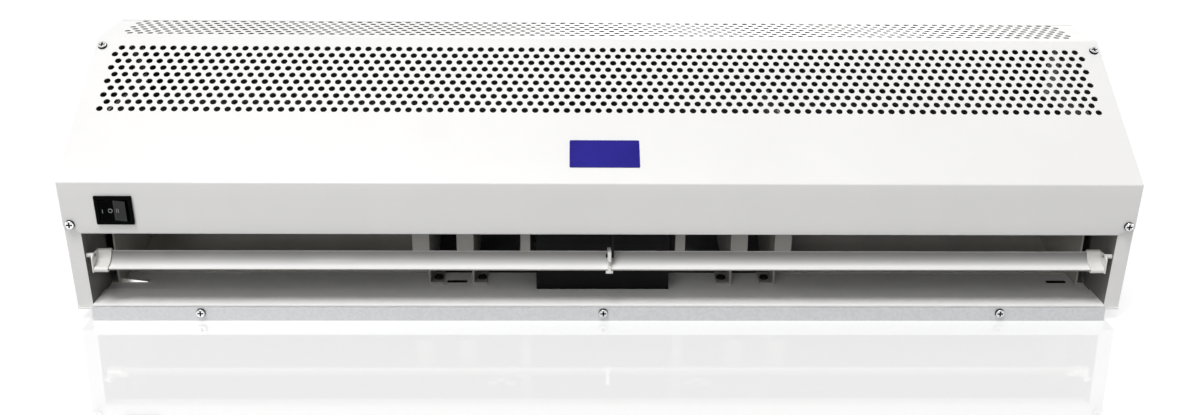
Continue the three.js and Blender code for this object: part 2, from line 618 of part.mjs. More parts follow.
// A plate across the axis, bored for what passes through, and kept clear of the cover.
function uprightPlate(plateX, side, points, holeRadius) {
  const half = PLATE / 2;
  const ends = [side * (plateX - half), side * (plateX + half)];
  const underCover = prism(bodySection(WRAP + PLATE_ROOF_GAP), ends[0] - side, ends[1] + side, ACROSS);
  const foot = box(ends[0] - side, ends[1] + side, FRONT_Y, BACK_Y, WALL_PLATE_HEIGHT, AXIS_Z / 2);
  const hole = [holeRadius, AXIS_Y, AXIS_Z];
  return prism(points, ...ends, ACROSS, [hole]).intersect(join(underCover, foot));
}

function frontFlange(side, plateX) {
  const outer = side * (plateX + FRONT_FLANGE_WIDTH);
  const foot = FLOOR_STAND_Z + FRONT_FLANGE_FOOT;
  const top = FASCIA_FOOT_Z - FRONT_FLANGE_DROP;
  return box(side * plateX, outer, PLATE_FRONT_Y, PLATE_FRONT_Y + PLATE, foot, top);
}

// Carries the bearing between motor and impeller. Its rounded head follows the bearing.
function bearingPlate(side) {
  const headRadius = BEARING_RADIUS + BEARING_COLLAR + 2 * CRADLE_EAR_WALL;
  const points = [
    [PLATE_FRONT_Y, FLOOR_STAND_Z],
    [AXIS_Y + headRadius, FLOOR_STAND_Z],
    ...arc([AXIS_Y, AXIS_Z], headRadius, 0, Math.PI, 8),
    [PLATE_FRONT_Y, AXIS_Z - headRadius],
  ];
  const plate = uprightPlate(BEARING_PLATE_X, side, points, BEARING_RADIUS + GAP);
  return join(plate, frontFlange(side, BEARING_PLATE_X), footOf(side, BEARING_PLATE_X));
}

// Closes the motor end of a scroll. The shaft passes through it.
function scrollInnerPlate(side) {
  const plate = uprightPlate(SCROLL_INNER_X, side, scrollEndOutline(), HUB_RADIUS + HUB_CLEARANCE);
  return join(plate, frontFlange(side, SCROLL_INNER_X), footOf(side, SCROLL_INNER_X));
}

// Closes the outer end of a scroll and carries the outer bearing.
function scrollOuterPlate(side) {
  const plate = uprightPlate(SCROLL_OUTER_X, side, scrollEndOutline(), BEARING_RADIUS + GAP);
  return join(plate, footBox(side * SCROLL_OUTER_X, side * (INNER_END - 1)));
}

// Follows the outside of the scroll, and reaches forward over the tongue.
function scrollEndOutline() {
  const steps = SCROLL_STEPS / 2;
  const start = THREE.MathUtils.degToRad(30); // of the sweep, where the outline leaves the pan
  const spiral = Array.from({ length: steps + 1 }, (_, i) => {
    const swept = start + ((SCROLL_SWEEP - start) * i) / steps;
    const angle = swept - Math.PI / 2;
    const radius = scrollRadius(swept) + SCROLL_PLATE_MARGIN;
    return [AXIS_Y + radius * Math.cos(angle), AXIS_Z + radius * Math.sin(angle)];
  });
  return [
    [PLATE_FRONT_Y, FLOOR_STAND_Z],
    [FLOOR_REAR_Y + GAP, FLOOR_STAND_Z],
    [FLOOR_REAR_Y + GAP, PAN_STAND_Z],
    [AXIS_Y + SCROLL_BOTTOM_RADIUS / 5, PAN_STAND_Z],
    ...spiral,
    [PLATE_FRONT_Y, spiral[steps][1]],
  ];
}

// The scroll's inner radius after `swept`, from straight below the axis.
function scrollRadius(swept) {
  return THREE.MathUtils.lerp(SCROLL_BOTTOM_RADIUS, SCROLL_END_RADIUS, swept / SCROLL_SWEEP);
}

// A plain bearing with a collar that rests on the inner side of its plate.
function bearing() {
  const half = BEARING_LENGTH / 2;
  const collar = PLATE / 2 + GAP;
  const collarRadius = BEARING_RADIUS + BEARING_COLLAR;
  return turned([
    [BORE_RADIUS, -half],
    [BEARING_RADIUS, -half],
    [BEARING_RADIUS, collar],
    [collarRadius, collar],
    [collarRadius, half],
    [BORE_RADIUS, half],
  ], 10);
}

// ---------------------------------------------------------------- rotor

// One blade, drawn in (y, z) at angle `turn` round the axis: a bent strip that is thinnest at its edges.
function bladeOutline(turn) {
  const tip = IMPELLER_RADIUS - 1;
  const middle = (tip + IMPELLER_CORE) / 2;
  const points = [
    [IMPELLER_CORE, 0],
    [middle, BLADE_CAMBER],
    [tip, 0],
    [middle, BLADE_CAMBER + BLADE_THICKNESS],
  ];
  const [c, s] = [Math.cos(turn), Math.sin(turn)];
  return points.map(([u, v]) => [u * c - v * s, u * s + v * c]);
}

// A cross-flow impeller: blades between discs, closed at both ends, with a stub shaft at each.
function impeller(side) {
  const at = (x) => side * x;
  const discs = Array.from({ length: IMPELLER_DISCS }, (_, i) => {
    const span = IMPELLER_END - IMPELLER_START - DISC_THICKNESS;
    const x = IMPELLER_START + (i * span) / (IMPELLER_DISCS - 1);
    const isEnd = i === 0 || i === IMPELLER_DISCS - 1;
    const hole = isEnd ? [] : [[IMPELLER_RADIUS - DISC_RIM, 0, 0]];
    return prism(circlePoints(IMPELLER_RADIUS, BLADES), at(x), at(x + DISC_THICKNESS), ACROSS, hole);
  });
  const start = IMPELLER_START + DISC_THICKNESS / 2;
  const end = IMPELLER_END - DISC_THICKNESS / 2;
  const blades = Array.from({ length: BLADES }, (_, i) =>
    prism(bladeOutline((i / BLADES) * 2 * Math.PI), at(start), at(end), ACROSS),
  );
  const stubs = [
    bar(SHAFT_RADIUS, at(SHAFT_HALF_LENGTH + STUB_GAP), at(start)),
    bar(HUB_RADIUS, at(start), at(start + HUB_LENGTH)),
    bar(HUB_RADIUS, at(end - HUB_LENGTH), at(end)),
    bar(SHAFT_RADIUS, at(end), at(OUTER_STUB_END)),
  ];
  return join(...discs, ...blades, ...stubs);
}

// Joins the motor shaft to an impeller's stub shaft, with a waist between its two clamping ends.
function coupling() {
  const end = COUPLING_LENGTH / 3;
  const radius = BORE_RADIUS + COUPLING_WALL;
  const waist = BORE_RADIUS + COUPLING_WALL / 2;
  return turned([
    [BORE_RADIUS, 0],
    [radius, 0],
    [radius, end],
    [waist, end],
    [waist, COUPLING_LENGTH - end],
    [radius, COUPLING_LENGTH - end],
    [radius, COUPLING_LENGTH],
    [BORE_RADIUS, COUPLING_LENGTH],
  ], 10);
}

// ---------------------------------------------------------------- motor

// Casing with two domed ends that finish in bosses, bored through for the shaft.
function motorCasing() {
  const half = [
    [MOTOR_BOSS_RADIUS, MOTOR_BOSS_END],
    [MOTOR_BOSS_RADIUS, MOTOR_BOSS_START],
    [MOTOR_RADIUS - MOTOR_BELL.shoulder, MOTOR_HALF_LENGTH + MOTOR_BELL.crown],
    [MOTOR_RADIUS - MOTOR_BELL.corner, MOTOR_HALF_LENGTH + MOTOR_BELL.corner],
    [MOTOR_RADIUS - MOTOR_BELL.step, MOTOR_HALF_LENGTH - MOTOR_BELL.skirt],
    [MOTOR_RADIUS, MOTOR_HALF_LENGTH - MOTOR_BELL.skirt],
  ];
  const mirrored = half.map(([r, x]) => [r, -x]).reverse();
  return turned([
    [BORE_RADIUS, MOTOR_BOSS_END],
    ...half,
    ...mirrored,
    [BORE_RADIUS, -MOTOR_BOSS_END],
  ].reverse(), 16);
}

function rubberRing() {
  const half = RING_LENGTH / 2;
  return turned([
    [MOTOR_BOSS_RADIUS + GAP, -half],
    [RING_RADIUS, -half],
    [RING_RADIUS, half],
    [MOTOR_BOSS_RADIUS + GAP, half],
  ], 16);
}

// A base on the pan with two ears that hold the rubber rings. Each ear has a wing that comes forward
// beside the guard and ends in a narrow flange.
function motorCradle() {
  const rear = AXIS_Y + CRADLE_WIDTH / 2;
  const front = AXIS_Y - CRADLE_WIDTH / 2;
  const half = CRADLE_EAR_THICKNESS / 2;
  const wingFront = GUARD_Y + SHEET + GAP;
  const earOutline = [
    [front, PAN_STAND_Z],
    [rear, PAN_STAND_Z],
    ...arc([AXIS_Y, AXIS_Z], RING_RADIUS + CRADLE_EAR_WALL, 0, Math.PI, 6),
    [wingFront, CRADLE_WING.top],
    [wingFront, CRADLE_WING.foot],
    [front, CRADLE_WING.foot],
  ];
  const ears = [-1, 1].map((side) => {
    const ends = [side * (CRADLE_EAR_X - half), side * (CRADLE_EAR_X + half)];
    const ear = prism(earOutline, ...ends, ACROSS, [[RING_RADIUS + GAP, AXIS_Y, AXIS_Z]]);
    const flangeX = [ends[0], ends[0] + side * CRADLE_WING.flange];
    const { top, foot } = CRADLE_WING;
    return join(ear, box(...flangeX, wingFront, wingFront + CRADLE_EAR_THICKNESS, foot, top));
  });
  const baseEnd = CRADLE_EAR_X + CRADLE_FOOT;
  const base = box(-baseEnd, baseEnd, front, rear, PAN_STAND_Z, PAN_STAND_Z + PLATE);
  return join(base, ...ears);
}

// The dark plate that hides the motor behind the outlet, standing on a foot.
function motorGuard() {
  const line = [
    [GUARD_Y + GUARD_FLANGE, GUARD_TOP_Z],
    [GUARD_Y, GUARD_TOP_Z],
    [GUARD_Y, FLOOR_STAND_Z],
    [GUARD_Y + GUARD_FLANGE, FLOOR_STAND_Z],
  ];
  return foldedSheet(line, SHEET, -GUARD_HALF_WIDTH, GUARD_HALF_WIDTH);
}

// ---------------------------------------------------------------- outlet vane

// The trough's inner face runs from its lip, which lies flat at the front, round to its upper edge. The
// frame is that of the pivot. `grow` moves both faces out, and both edges on by as much.
function vaneSection(grow = 0, steps = 5) {
  const lead = grow / VANE_RADIUS;
  const from = -Math.PI / 2 - lead;
  const to = VANE_SWEEP - Math.PI / 2 + lead;
  return [
    ...arc(VANE_CENTRE, VANE_RADIUS + VANE_THICKNESS + grow, from, to, steps),
    ...arc(VANE_CENTRE, VANE_RADIUS - grow, to, from, steps),
  ];
}

const vaneBlade = () => prism(vaneSection(), -VANE_HALF_LENGTH, VANE_HALF_LENGTH, ACROSS);

// A sleeve round the blade's end, closed by a quarter-round wall that carries the pivot pin, which turns
// in the duct's cheek.
function vaneCap(side) {
  const wrap = GAP + VANE_CAP_WALL;
  const rimRadius = VANE_RADIUS + VANE_THICKNESS + wrap;
  const rim = arc(VANE_CENTRE, rimRadius, -Math.PI / 2, VANE_SWEEP - Math.PI / 2, 5);
  const [lip, edge] = [rim[0], rim[rim.length - 1]];
  const wallOutline = [
    [lip[0] - wrap, lip[1]],
    ...rim,
    [edge[0], edge[1] + wrap],
    [edge[0] - VANE_CAP_SHOULDER, edge[1] + wrap],
    [lip[0] - wrap, lip[1] + VANE_CAP_SHOULDER],
  ];
  const wallStart = side * (VANE_CAP_OUTER - VANE_CAP_WALL);
  const wall = prism(wallOutline, wallStart, side * VANE_CAP_OUTER, ACROSS);
  const sleeve = prism(vaneSection(wrap), side * VANE_CAP_INNER, side * VANE_CAP_OUTER, ACROSS);
  const pocket = prism(vaneSection(GAP), side * (VANE_CAP_INNER - VANE_CAP_WALL), wallStart, ACROSS);
  const pinEnd = INNER_END + SHEET + VANE_END_GAP / 2;
  const pin = bar(VANE_PIN_RADIUS, wallStart, side * pinEnd);
  return join(wall, cut(sleeve, pocket), pin);
}

// A clip round the blade, with a foot under its lip and an ear in the trough for the hanger's pin.
function vaneSaddle() {
  const across = (points, width) => prism(points, SADDLE_X - width / 2, SADDLE_X + width / 2, ACROSS);
  const wrap = GAP + SADDLE_WALL;
  const lipY = VANE_CENTRE[0];
  const lipZ = VANE_CENTRE[1] - VANE_RADIUS - VANE_THICKNESS;
  const foot = [
    [lipY - wrap, lipZ - wrap],
    [lipY + wrap, lipZ - wrap],
    [lipY + wrap, lipZ],
    [lipY - wrap, lipZ],
  ];
  const ear = [
    [-SADDLE_EAR, -SADDLE_EAR],
    [VANE_CENTRE[0] + VANE_RADIUS, -SADDLE_EAR],
    [VANE_CENTRE[0] + VANE_RADIUS, SADDLE_EAR],
    [-SADDLE_EAR, SADDLE_EAR],
  ];
  return cut(
    join(across(vaneSection(wrap), SADDLE_WIDTH), across(foot, SADDLE_FOOT_WIDTH), across(ear, SADDLE_WIDTH)),
    across(vaneSection(GAP), 2 * SADDLE_FOOT_WIDTH),
    across(clearCircle(HANGER_PIN_RADIUS + GAP, 0, 0, 8), 2 * SADDLE_FOOT_WIDTH),
  );
}

// Reaches forward from the motor guard, over the vane, and carries the clip on a pin.
function vaneHanger() {
  const guardFace = GUARD_Y - GAP;
  const inner = SADDLE_X + SADDLE_WIDTH / 2 + GAP;
  const outer = inner + HANGER_THICKNESS;
  const half = HANGER_HEIGHT / 2 + GAP;
  const under = VANE_Z + HANGER_FOOT;
  const over = under + HANGER_HEIGHT;
  const armOutline = [
    [guardFace, under],
    [guardFace, over],
    [VANE_Y - half, over],
    [VANE_Y - half, VANE_Z],
    [VANE_Y, VANE_Z - half],
    [VANE_Y + half, VANE_Z],
    [VANE_Y + half, under],
  ];
  const arm = prism(armOutline, inner, outer, ACROSS);
  const padBack = guardFace - HANGER_THICKNESS;
  const pad = box(inner, inner + HANGER_PAD_WIDTH, padBack, guardFace, VANE_Z, over);
  const pinEnd = SADDLE_X - SADDLE_FOOT_WIDTH / 2;
  const pin = bar(HANGER_PIN_RADIUS, pinEnd, inner + HANGER_THICKNESS / 2, VANE_Y, VANE_Z, 8);
  return join(arm, pad, pin);
}

// ---------------------------------------------------------------- switch, wiring and fasteners

// Bezel on the fascia and body behind it, open at the front for the rocker.
function switchBody() {
  const { width, height, thickness } = SWITCH_BEZEL;
  const { width: bodyWidth, height: bodyHeight, depth } = SWITCH_BODY;
  const slab = (w, h, z0, z1) => box(-w / 2, w / 2, -h / 2, h / 2, z0, z1);
  const gap = SWITCH_WELL_GAP;
  const wellFoot = -ROCKER.skirt - gap.depth;
  const well = slab(ROCKER.width + gap.width, ROCKER.height + gap.height, wellFoot, 2 * thickness);
  const terminals = [-1, 0, 1].map((step) => {
    const { pitch, thickness: tab, width: tabWidth, length } = SWITCH_TERMINAL;
    return slab(tab, tabWidth, -depth - length, -depth + tab).translate([step * pitch, 0, 0]);
  });
  return join(
    cut(join(slab(width, height, GAP, thickness), slab(bodyWidth, bodyHeight, -depth, thickness / 2)), well),
    ...terminals,
  );
}

// A rocker whose two wings rise from a shallow dip, drawn about its own pivot. Its ends are round
// about the pivot, so that they keep their clearance as it tilts.
function switchRocker() {
  const { width, height, crown, dip, pivotDepth, skirt } = ROCKER;
  const radius = width / 2;
  const top = Math.asin((crown + pivotDepth) / radius);
  const bottom = Math.asin((skirt - pivotDepth) / radius);
  const section = [
    ...arc([0, 0], radius, -bottom, top, 3),
    [0, dip + pivotDepth],
    ...arc([0, 0], radius, Math.PI - top, Math.PI + bottom, 3),
  ];
  return prism(section, -height / 2, height / 2, FACING);
}

function screwGeometry(length = SCREW.length) {
  const { headRadius, crownRadius, headHeight, shankRadius } = SCREW;
  const inHead = headHeight / 4; // the shank starts inside the head
  const head = new THREE.CylinderGeometry(crownRadius, headRadius, headHeight, 8);
  const shank = new THREE.CylinderGeometry(shankRadius, shankRadius, length + inHead, 5);
  return geometryOf(
    join(
      solid(head.rotateX(Math.PI / 2).translate(0, 0, headHeight / 2 + GAP)),
      solid(shank.rotateX(Math.PI / 2).translate(0, 0, GAP + inHead - (length + inHead) / 2)),
    ),
  );
}

function grommet() {
  const { hole, flange, bore, flangeThickness } = GROMMET;
  const inner = SHEET + GAP;
  return turned([
    [bore, -inner - flangeThickness],
    [flange, -inner - flangeThickness],
    [flange, -inner],
    [hole, -inner],
    [hole, GAP],
    [flange, GAP],
    [flange - 1, GAP + flangeThickness],
    [bore, GAP + flangeThickness],
  ], 12);
}

function capacitor() {
  const { radius, length } = CAPACITOR;
  const { offset, thickness, width, length: reach } = CAPACITOR_TAB;
  const tab = box(length - thickness, length + reach, -thickness / 2, thickness / 2, -width / 2, width / 2);
  const tabs = [-offset, offset].map((y) => tab.translate([0, y, 0]));
  return join(bar(radius, 0, length, 0, 0, 18), ...tabs);
}

// A strap over the capacitor, closed by a base on the pan.
function capacitorClip() {
  const { radius, z } = CAPACITOR;
  const foot = PAN_STAND_Z - z;
  const steps = 8;
  const inner = (radius + GAP) / Math.cos(Math.PI / (2 * steps));
  const { width, thickness } = CAPACITOR_STRAP;
  const line = [[inner, foot], ...arc([0, 0], inner, 0, Math.PI, steps), [-inner, foot]];
  const strap = foldedSheet(line, -thickness, 0, width);
  const base = box(0, width, -inner - thickness, inner + thickness, foot, foot + thickness);
  return join(strap, base);
}

function terminalBlock() {
  const { width, depth, height } = TERMINAL_BLOCK;
  const { count, wall, depth: cutDepth } = TERMINAL_CHANNEL;
  const pitch = width / count;
  const block = box(-width / 2, width / 2, -depth / 2, depth / 2, 0, height);
  const channels = Array.from({ length: count }, (_, i) => {
    const x = (i - (count - 1) / 2) * pitch;
    return box(x - pitch / 2 + wall, x + pitch / 2 - wall, -depth, depth, height - cutDepth, 2 * height);
  });
  return cut(block, ...channels);
}

// ---------------------------------------------------------------- assembly

const airCurtain = new THREE.Group();

airCurtain.add(
  part("wall_plate", wallPlate(), GALVANISED),
  part("chassis_pan", chassisPan(), WHITE_PAINT),
  part("front_cover", frontCover(), WHITE_PAINT),
  part("outlet_floor", outletFloor(), DUCT_PAINT),
  part("motor_guard", motorGuard(), BLACK_PAINT),
  part("motor_cradle", motorCradle(), GALVANISED),
  part("vane_hanger", vaneHanger(), BLACK_PAINT),
);

for (const side of [-1, 1]) {
  const name = sideName(side);
  airCurtain.add(
    part(`side_panel_${name}`, sidePanel(side), WHITE_PAINT),
    part(`scroll_${name}`, scroll(side), DUCT_PAINT),
    part(`tongue_${name}`, tongue(side), DUCT_PAINT),
    part(`bearing_plate_${name}`, bearingPlate(side), DUCT_PAINT),
    part(`scroll_inner_plate_${name}`, scrollInnerPlate(side), DUCT_PAINT),
    part(`scroll_outer_plate_${name}`, scrollOuterPlate(side), DUCT_PAINT),
  );
}

// Everything on the fan axis is placed in a group that sits on it.
const onAxis = new THREE.Group();
onAxis.position.set(0, AXIS_Y, AXIS_Z);
airCurtain.add(onAxis);
onAxis.add(
  part("motor_casing", motorCasing(), BLACK_PAINT),
  part("motor_shaft", bar(SHAFT_RADIUS, -SHAFT_HALF_LENGTH, SHAFT_HALF_LENGTH), BRIGHT_STEEL),
);
for (const side of [-1, 1]) {
  const name = sideName(side);
  const ring = part(`rubber_ring_${name}`, rubberRing(), RUBBER);
  ring.position.x = side * CRADLE_EAR_X;
  const joint = part(`coupling_${name}`, coupling(), ALUMINIUM);
  joint.position.x = side < 0 ? -COUPLING_START - COUPLING_LENGTH : COUPLING_START;
  const inner = part(`inner_bearing_${name}`, bearing(), RUBBER);
  inner.position.x = side * BEARING_PLATE_X;
  inner.rotation.z = side < 0 ? Math.PI : 0;
  const outer = part(`outer_bearing_${name}`, bearing(), RUBBER);
  outer.position.x = side * SCROLL_OUTER_X;
  outer.rotation.z = side < 0 ? Math.PI : 0;
  onAxis.add(ring, joint, inner, outer, part(`impeller_${name}`, impeller(side), ALUMINIUM));
}

// The vane turns about this group's X axis.
const vane = new THREE.Group();
vane.position.set(0, VANE_Y, VANE_Z);
airCurtain.add(vane);
vane.add(
  part("vane_blade", vaneBlade(), WHITE_PAINT),
  part("vane_cap_left", vaneCap(-1), WHITE_PLASTIC),
  part("vane_cap_right", vaneCap(1), WHITE_PLASTIC),
  part("vane_saddle", vaneSaddle(), WHITE_PLASTIC),
);

// The switch sits in the fascia's plane; the rocker turns about an axis that runs up the fascia.
const switchGroup = new THREE.Group();
switchGroup.applyMatrix4(switchSeat());
airCurtain.add(switchGroup);
const rocker = part("switch_rocker", switchRocker(), BLACK_PLASTIC);
rocker.position.z = SWITCH_BEZEL.thickness - ROCKER.pivotDepth;
switchGroup.add(part("switch_body", switchBody(), BLACK_PLASTIC), rocker);

const cableGrommet = part("cable_grommet", grommet(), RUBBER);
cableGrommet.position.set(GROMMET.x, BACK_Y, GROMMET.z);
cableGrommet.rotation.z = Math.PI / 2;
const runCapacitor = part("run_capacitor", capacitor(), WHITE_PLASTIC);
const capacitorY = BACK_Y - CAPACITOR.setback;
runCapacitor.position.set(CAPACITOR.x, capacitorY, CAPACITOR.z);
const clip = part("capacitor_clip", capacitorClip(), GALVANISED);
const clipX = CAPACITOR.x + (CAPACITOR.length - CAPACITOR_STRAP.width) / 2;
clip.position.set(clipX, capacitorY, CAPACITOR.z);
const terminals = part("terminal_block", terminalBlock(), WHITE_PLASTIC);
terminals.position.set(TERMINAL_BLOCK.x, BACK_Y - TERMINAL_BLOCK.setback, PAN_STAND_Z);
airCurtain.add(cableGrommet, runCapacitor, clip, terminals);

for (const { name, matrix } of [...coverScrewPlaces(), ...railScrewPlaces()]) {
  const screw = part(name, screwGeometry(), BRIGHT_STEEL);
  screw.applyMatrix4(matrix);
  airCurtain.add(screw);
}
for (const { name, x, y } of plateFeet()) {
  const screw = part(name, screwGeometry(FOOT_SCREW_LENGTH), BRIGHT_STEEL);
  screw.position.set(x, y, FLOOR_STAND_Z + PLATE);
  airCurtain.add(screw);
}

export default airCurtain;
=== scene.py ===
"""The looks of a wall-mounted air curtain: white powder-coated sheet steel with a perforated inlet, a dark
duct with a long trough-shaped vane, a rocker switch and a galvanised wall plate, on a pale glossy floor.

Sizes are in millimetres, in the frame's axes: X along the length, -Y out of the outlet, Z off the wall plate.
Meshes are scaled to metres where they are made."""

import json
import math

import bmesh
import bpy
from mathutils import Matrix, Vector


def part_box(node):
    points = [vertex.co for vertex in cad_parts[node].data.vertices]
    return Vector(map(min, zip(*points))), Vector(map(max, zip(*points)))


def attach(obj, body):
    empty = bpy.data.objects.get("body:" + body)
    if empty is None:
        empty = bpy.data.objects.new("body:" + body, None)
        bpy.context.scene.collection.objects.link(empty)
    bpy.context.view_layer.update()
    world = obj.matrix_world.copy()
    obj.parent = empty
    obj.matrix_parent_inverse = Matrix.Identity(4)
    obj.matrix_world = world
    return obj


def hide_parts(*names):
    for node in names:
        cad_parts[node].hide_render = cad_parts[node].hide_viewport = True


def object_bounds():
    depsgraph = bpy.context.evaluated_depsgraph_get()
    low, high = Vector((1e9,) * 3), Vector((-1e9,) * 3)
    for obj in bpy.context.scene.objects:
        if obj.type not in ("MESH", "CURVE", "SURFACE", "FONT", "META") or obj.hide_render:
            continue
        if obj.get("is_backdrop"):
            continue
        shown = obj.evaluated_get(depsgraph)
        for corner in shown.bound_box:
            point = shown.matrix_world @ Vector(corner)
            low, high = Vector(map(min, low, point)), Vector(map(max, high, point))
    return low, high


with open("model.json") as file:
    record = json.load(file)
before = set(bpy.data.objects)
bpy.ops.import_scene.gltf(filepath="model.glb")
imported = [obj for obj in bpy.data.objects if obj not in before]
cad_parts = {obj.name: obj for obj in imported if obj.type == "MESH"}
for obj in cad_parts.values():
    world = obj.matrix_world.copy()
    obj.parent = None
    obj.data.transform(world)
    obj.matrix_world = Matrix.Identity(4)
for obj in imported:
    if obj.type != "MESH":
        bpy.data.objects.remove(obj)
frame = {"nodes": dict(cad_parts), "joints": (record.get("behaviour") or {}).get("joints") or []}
CAD_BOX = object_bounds()

MM = 0.001


def cad(node):
    """Lowest and highest corner of a CAD node, in millimetres."""
    return tuple(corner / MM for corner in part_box(node))


# ---------------------------------------------------------------- sizes

COVER_LOW, COVER_HIGH = cad("front_cover")
END_X = COVER_HIGH.x
FRONT_Y, BACK_Y = COVER_LOW.y, COVER_HIGH.y
TOP_Z, FASCIA_FOOT_Z = COVER_HIGH.z, COVER_LOW.z
SHEET = 1.2
GAP = 0.3
TOP_DEPTH = 78
FASCIA_DROP = 47
FASCIA_LEAN = math.radians(3.4)
FRONT_EDGE_Z = FASCIA_FOOT_Z + FASCIA_DROP
REAR_RADIUS = 14
REAR_SEAM_DROP = 30
FOLD_RADIUS = 2
HEM_DEPTH = 10
HEM_RADIUS = 1.6
CORNER_RISE = 6  # the fascia's lower corners are cut off, under their screws
LINER_END = cad("outlet_floor")[1].x  # what fits between the side panels' flanges ends here

HOLE_PITCH = 9.08
HOLE_ROW_STEP = HOLE_PITCH * math.sin(math.pi / 3)
HOLE_RADIUS = 2.8
HOLE_EDGE = 0.25  # softened edge of each hole, in the paint
HOLE_SIDES = 18
HOLE_MARGIN = 13.6
HOLES_PER_ROW = 96
SLOPE_ROWS = 10
TOP_ROWS = 7

TOP_FOLD = Vector((BACK_Y - TOP_DEPTH, TOP_Z))  # in (y, z), as all sections are
FRONT_FOLD = Vector((FRONT_Y, FRONT_EDGE_Z))
FASCIA_FOOT = Vector((FRONT_Y + FASCIA_DROP * math.tan(FASCIA_LEAN), FASCIA_FOOT_Z))
DOWN_SLOPE = (FRONT_FOLD - TOP_FOLD).normalized()
DOWN_FASCIA = (FASCIA_FOOT - FRONT_FOLD).normalized()

SWITCH_LOW, SWITCH_HIGH = cad("switch_body")
SWITCH_X = (SWITCH_LOW.x + SWITCH_HIGH.x) / 2
SWITCH_Z = 103.3
BEZEL = {"width": 31, "height": 25.5, "thickness": 2, "rim": 3.4, "corner": 0.6}
WELL = {"stretch": 0.4, "corner": 0.4, "depth": 4}  # round the rocker and under its skirt
SWITCH_BODY = {"width": 27.4, "height": 21.6, "depth": 24, "corner": 0.8}
TERMINAL = {"pitch": 8, "thickness": 0.8, "width": 6.4, "length": 8, "corner": 0.3}
ROCKER = {"width": 23.6, "height": 18.4, "crown": 2, "dip": -0.4, "pivot_depth": 3.5, "skirt": 6.5}
ROCKER_CURVE = 1.35  # power by which the wings rise from the middle
ROCKER_RADIUS = ROCKER["width"] / 2
ROCKER_TOP = math.asin((ROCKER["crown"] + ROCKER["pivot_depth"]) / ROCKER_RADIUS)
WING_REACH = ROCKER_RADIUS * math.cos(ROCKER_TOP)
MARK = {"length": 3.4, "width": 0.7, "sunk": 0.3, "proud": 0.06}
ZERO = {"x": -2.8, "outer": 1.9, "inner": 1.2, "proud": 0.35}
STROKES_X = (-8.8, 2.4, 3.9)  # of I and of II, with the O between them

BADGE = {"width": 59, "height": 29, "thickness": 0.8, "corner": 1.2, "middle": 132.3}  # from the fold

SLOT_COVER_DEPTH = 4.6
WEDGE = {"half_length": 12, "left_height": 3.6, "right_height": 0.8, "shift": -4.5}
STRIP = {"length": 18, "thickness": 0.38, "corner": 1.4}
AIR = 0.02  # between pieces that lie on one another
SLOT_X = 130
SLOT_END_INSET = 24
SLOT_Y = cad("bearing_plate_right")[0].y + 5.7  # behind the inner plates' front edges
FLOOR_TOP_Z = cad("bearing_plate_right")[0].z - GAP  # what the inner plates stand on

AXIS_Y, AXIS_Z = (sum(c) / 2 for c in list(zip(*cad("motor_shaft")))[1:])
FAN_RADIUS = 48
FAN_BLADES = 28
FAN_DISCS = 4
FAN_BLADE = {"depth": 10, "camber": 2.4, "thickness": 1, "rim": 1, "reach": 0.5}  # reach: into the end discs
FAN_DISC_THICKNESS = 2
FAN_RING_WIDTH = 14
FAN_STUB_RADIUS = 5
FAN_HUB_RADIUS = 13
FAN_HUB_LENGTH = 12
FAN_END_GAP = 8  # between a fan and its scroll's inner plate
FAN_STUB = 16  # how far the outer stub shaft stands out of the fan
FRONT_FLANGE_WIDTH = 14
SCROLL_SWEEP = math.radians(150)
SCROLL_OUTLET_GAP = 10  # between a fan and its scroll where the spiral stops

MOTOR_BORE_RADIUS = 5.3
MOTOR_BOSS_RADIUS = 15
MOTOR_BELL = (  # (step in from the casing's radius, distance from the middle) along an end bell
    (12, 56),
    (5, 52.5),
    (2, 46),
    (2, 34),
)
MOTOR_BOSS_START = 60
MOTOR_RIB = {"pitch": 5.6, "depth": 1.6, "crest": 1.5, "root": 2.1, "count": 11}

VANE_RADIUS = 13.5
VANE_THICKNESS = 1.6
VANE_SWEEP = math.radians(80)
VANE_CAP_WALL = 1.4
VANE_CAP_SHOULDER = 13
VANE_END_GAP = 5.5  # between a cap and the duct's cheek
VANE_PIN_RADIUS = 2
BLADE_LOW, BLADE_HIGH = cad("vane_blade")
VANE_CENTRE = Vector((BLADE_LOW.y, BLADE_LOW.z + VANE_RADIUS + VANE_THICKNESS))

SCREW = {"head_radius": 4, "head_height": 2.4, "shank_radius": 1.9, "length": 8, "foot_length": 3.2}
COVER_SCREW_INSET = 6  # from the ends
COVER_SCREW_FROM_FOLD = 12
FASCIA_SCREW_RISE = 9  # above the fascia's foot


# ---------------------------------------------------------------- mesh helpers

def mesh_object(name, points, faces, sharp=35):
    """A closed piece from points in millimetres and faces, shaded smooth up to `sharp` degrees."""
    mesh = bpy.data.meshes.new(name)
    mesh.from_pydata([Vector(p) * MM for p in points], [], faces)
    tidy = bmesh.new()
    tidy.from_mesh(mesh)
    bmesh.ops.recalc_face_normals(tidy, faces=tidy.faces)
    tidy.to_mesh(mesh)
    tidy.free()
    mesh.polygons.foreach_set("use_smooth", [True] * len(mesh.polygons))
    mesh.set_sharp_from_angle(angle=math.radians(sharp))
    piece = bpy.data.objects.new(name, mesh)
    bpy.context.scene.collection.objects.link(piece)
    return piece


def merged(*shells):
    """Several (points, faces) shells as one."""
    points, faces = [], []
    for shell_points, shell_faces in shells:
        start = len(points)
        points += shell_points
        faces += [tuple(start + i for i in face) for face in shell_faces]
    return points, faces


def moved(shell, matrix):
    points, faces = shell
    return [matrix @ Vector(p) for p in points], faces


def prism(first, last):
    """A shell between two outlines with the same count of points, with a face at each end."""
    count = len(first)
    sides = [(i, (i + 1) % count, count + (i + 1) % count, count + i) for i in range(count)]
    return [*first, *last], [tuple(range(count))[::-1], tuple(range(count, 2 * count)), *sides]


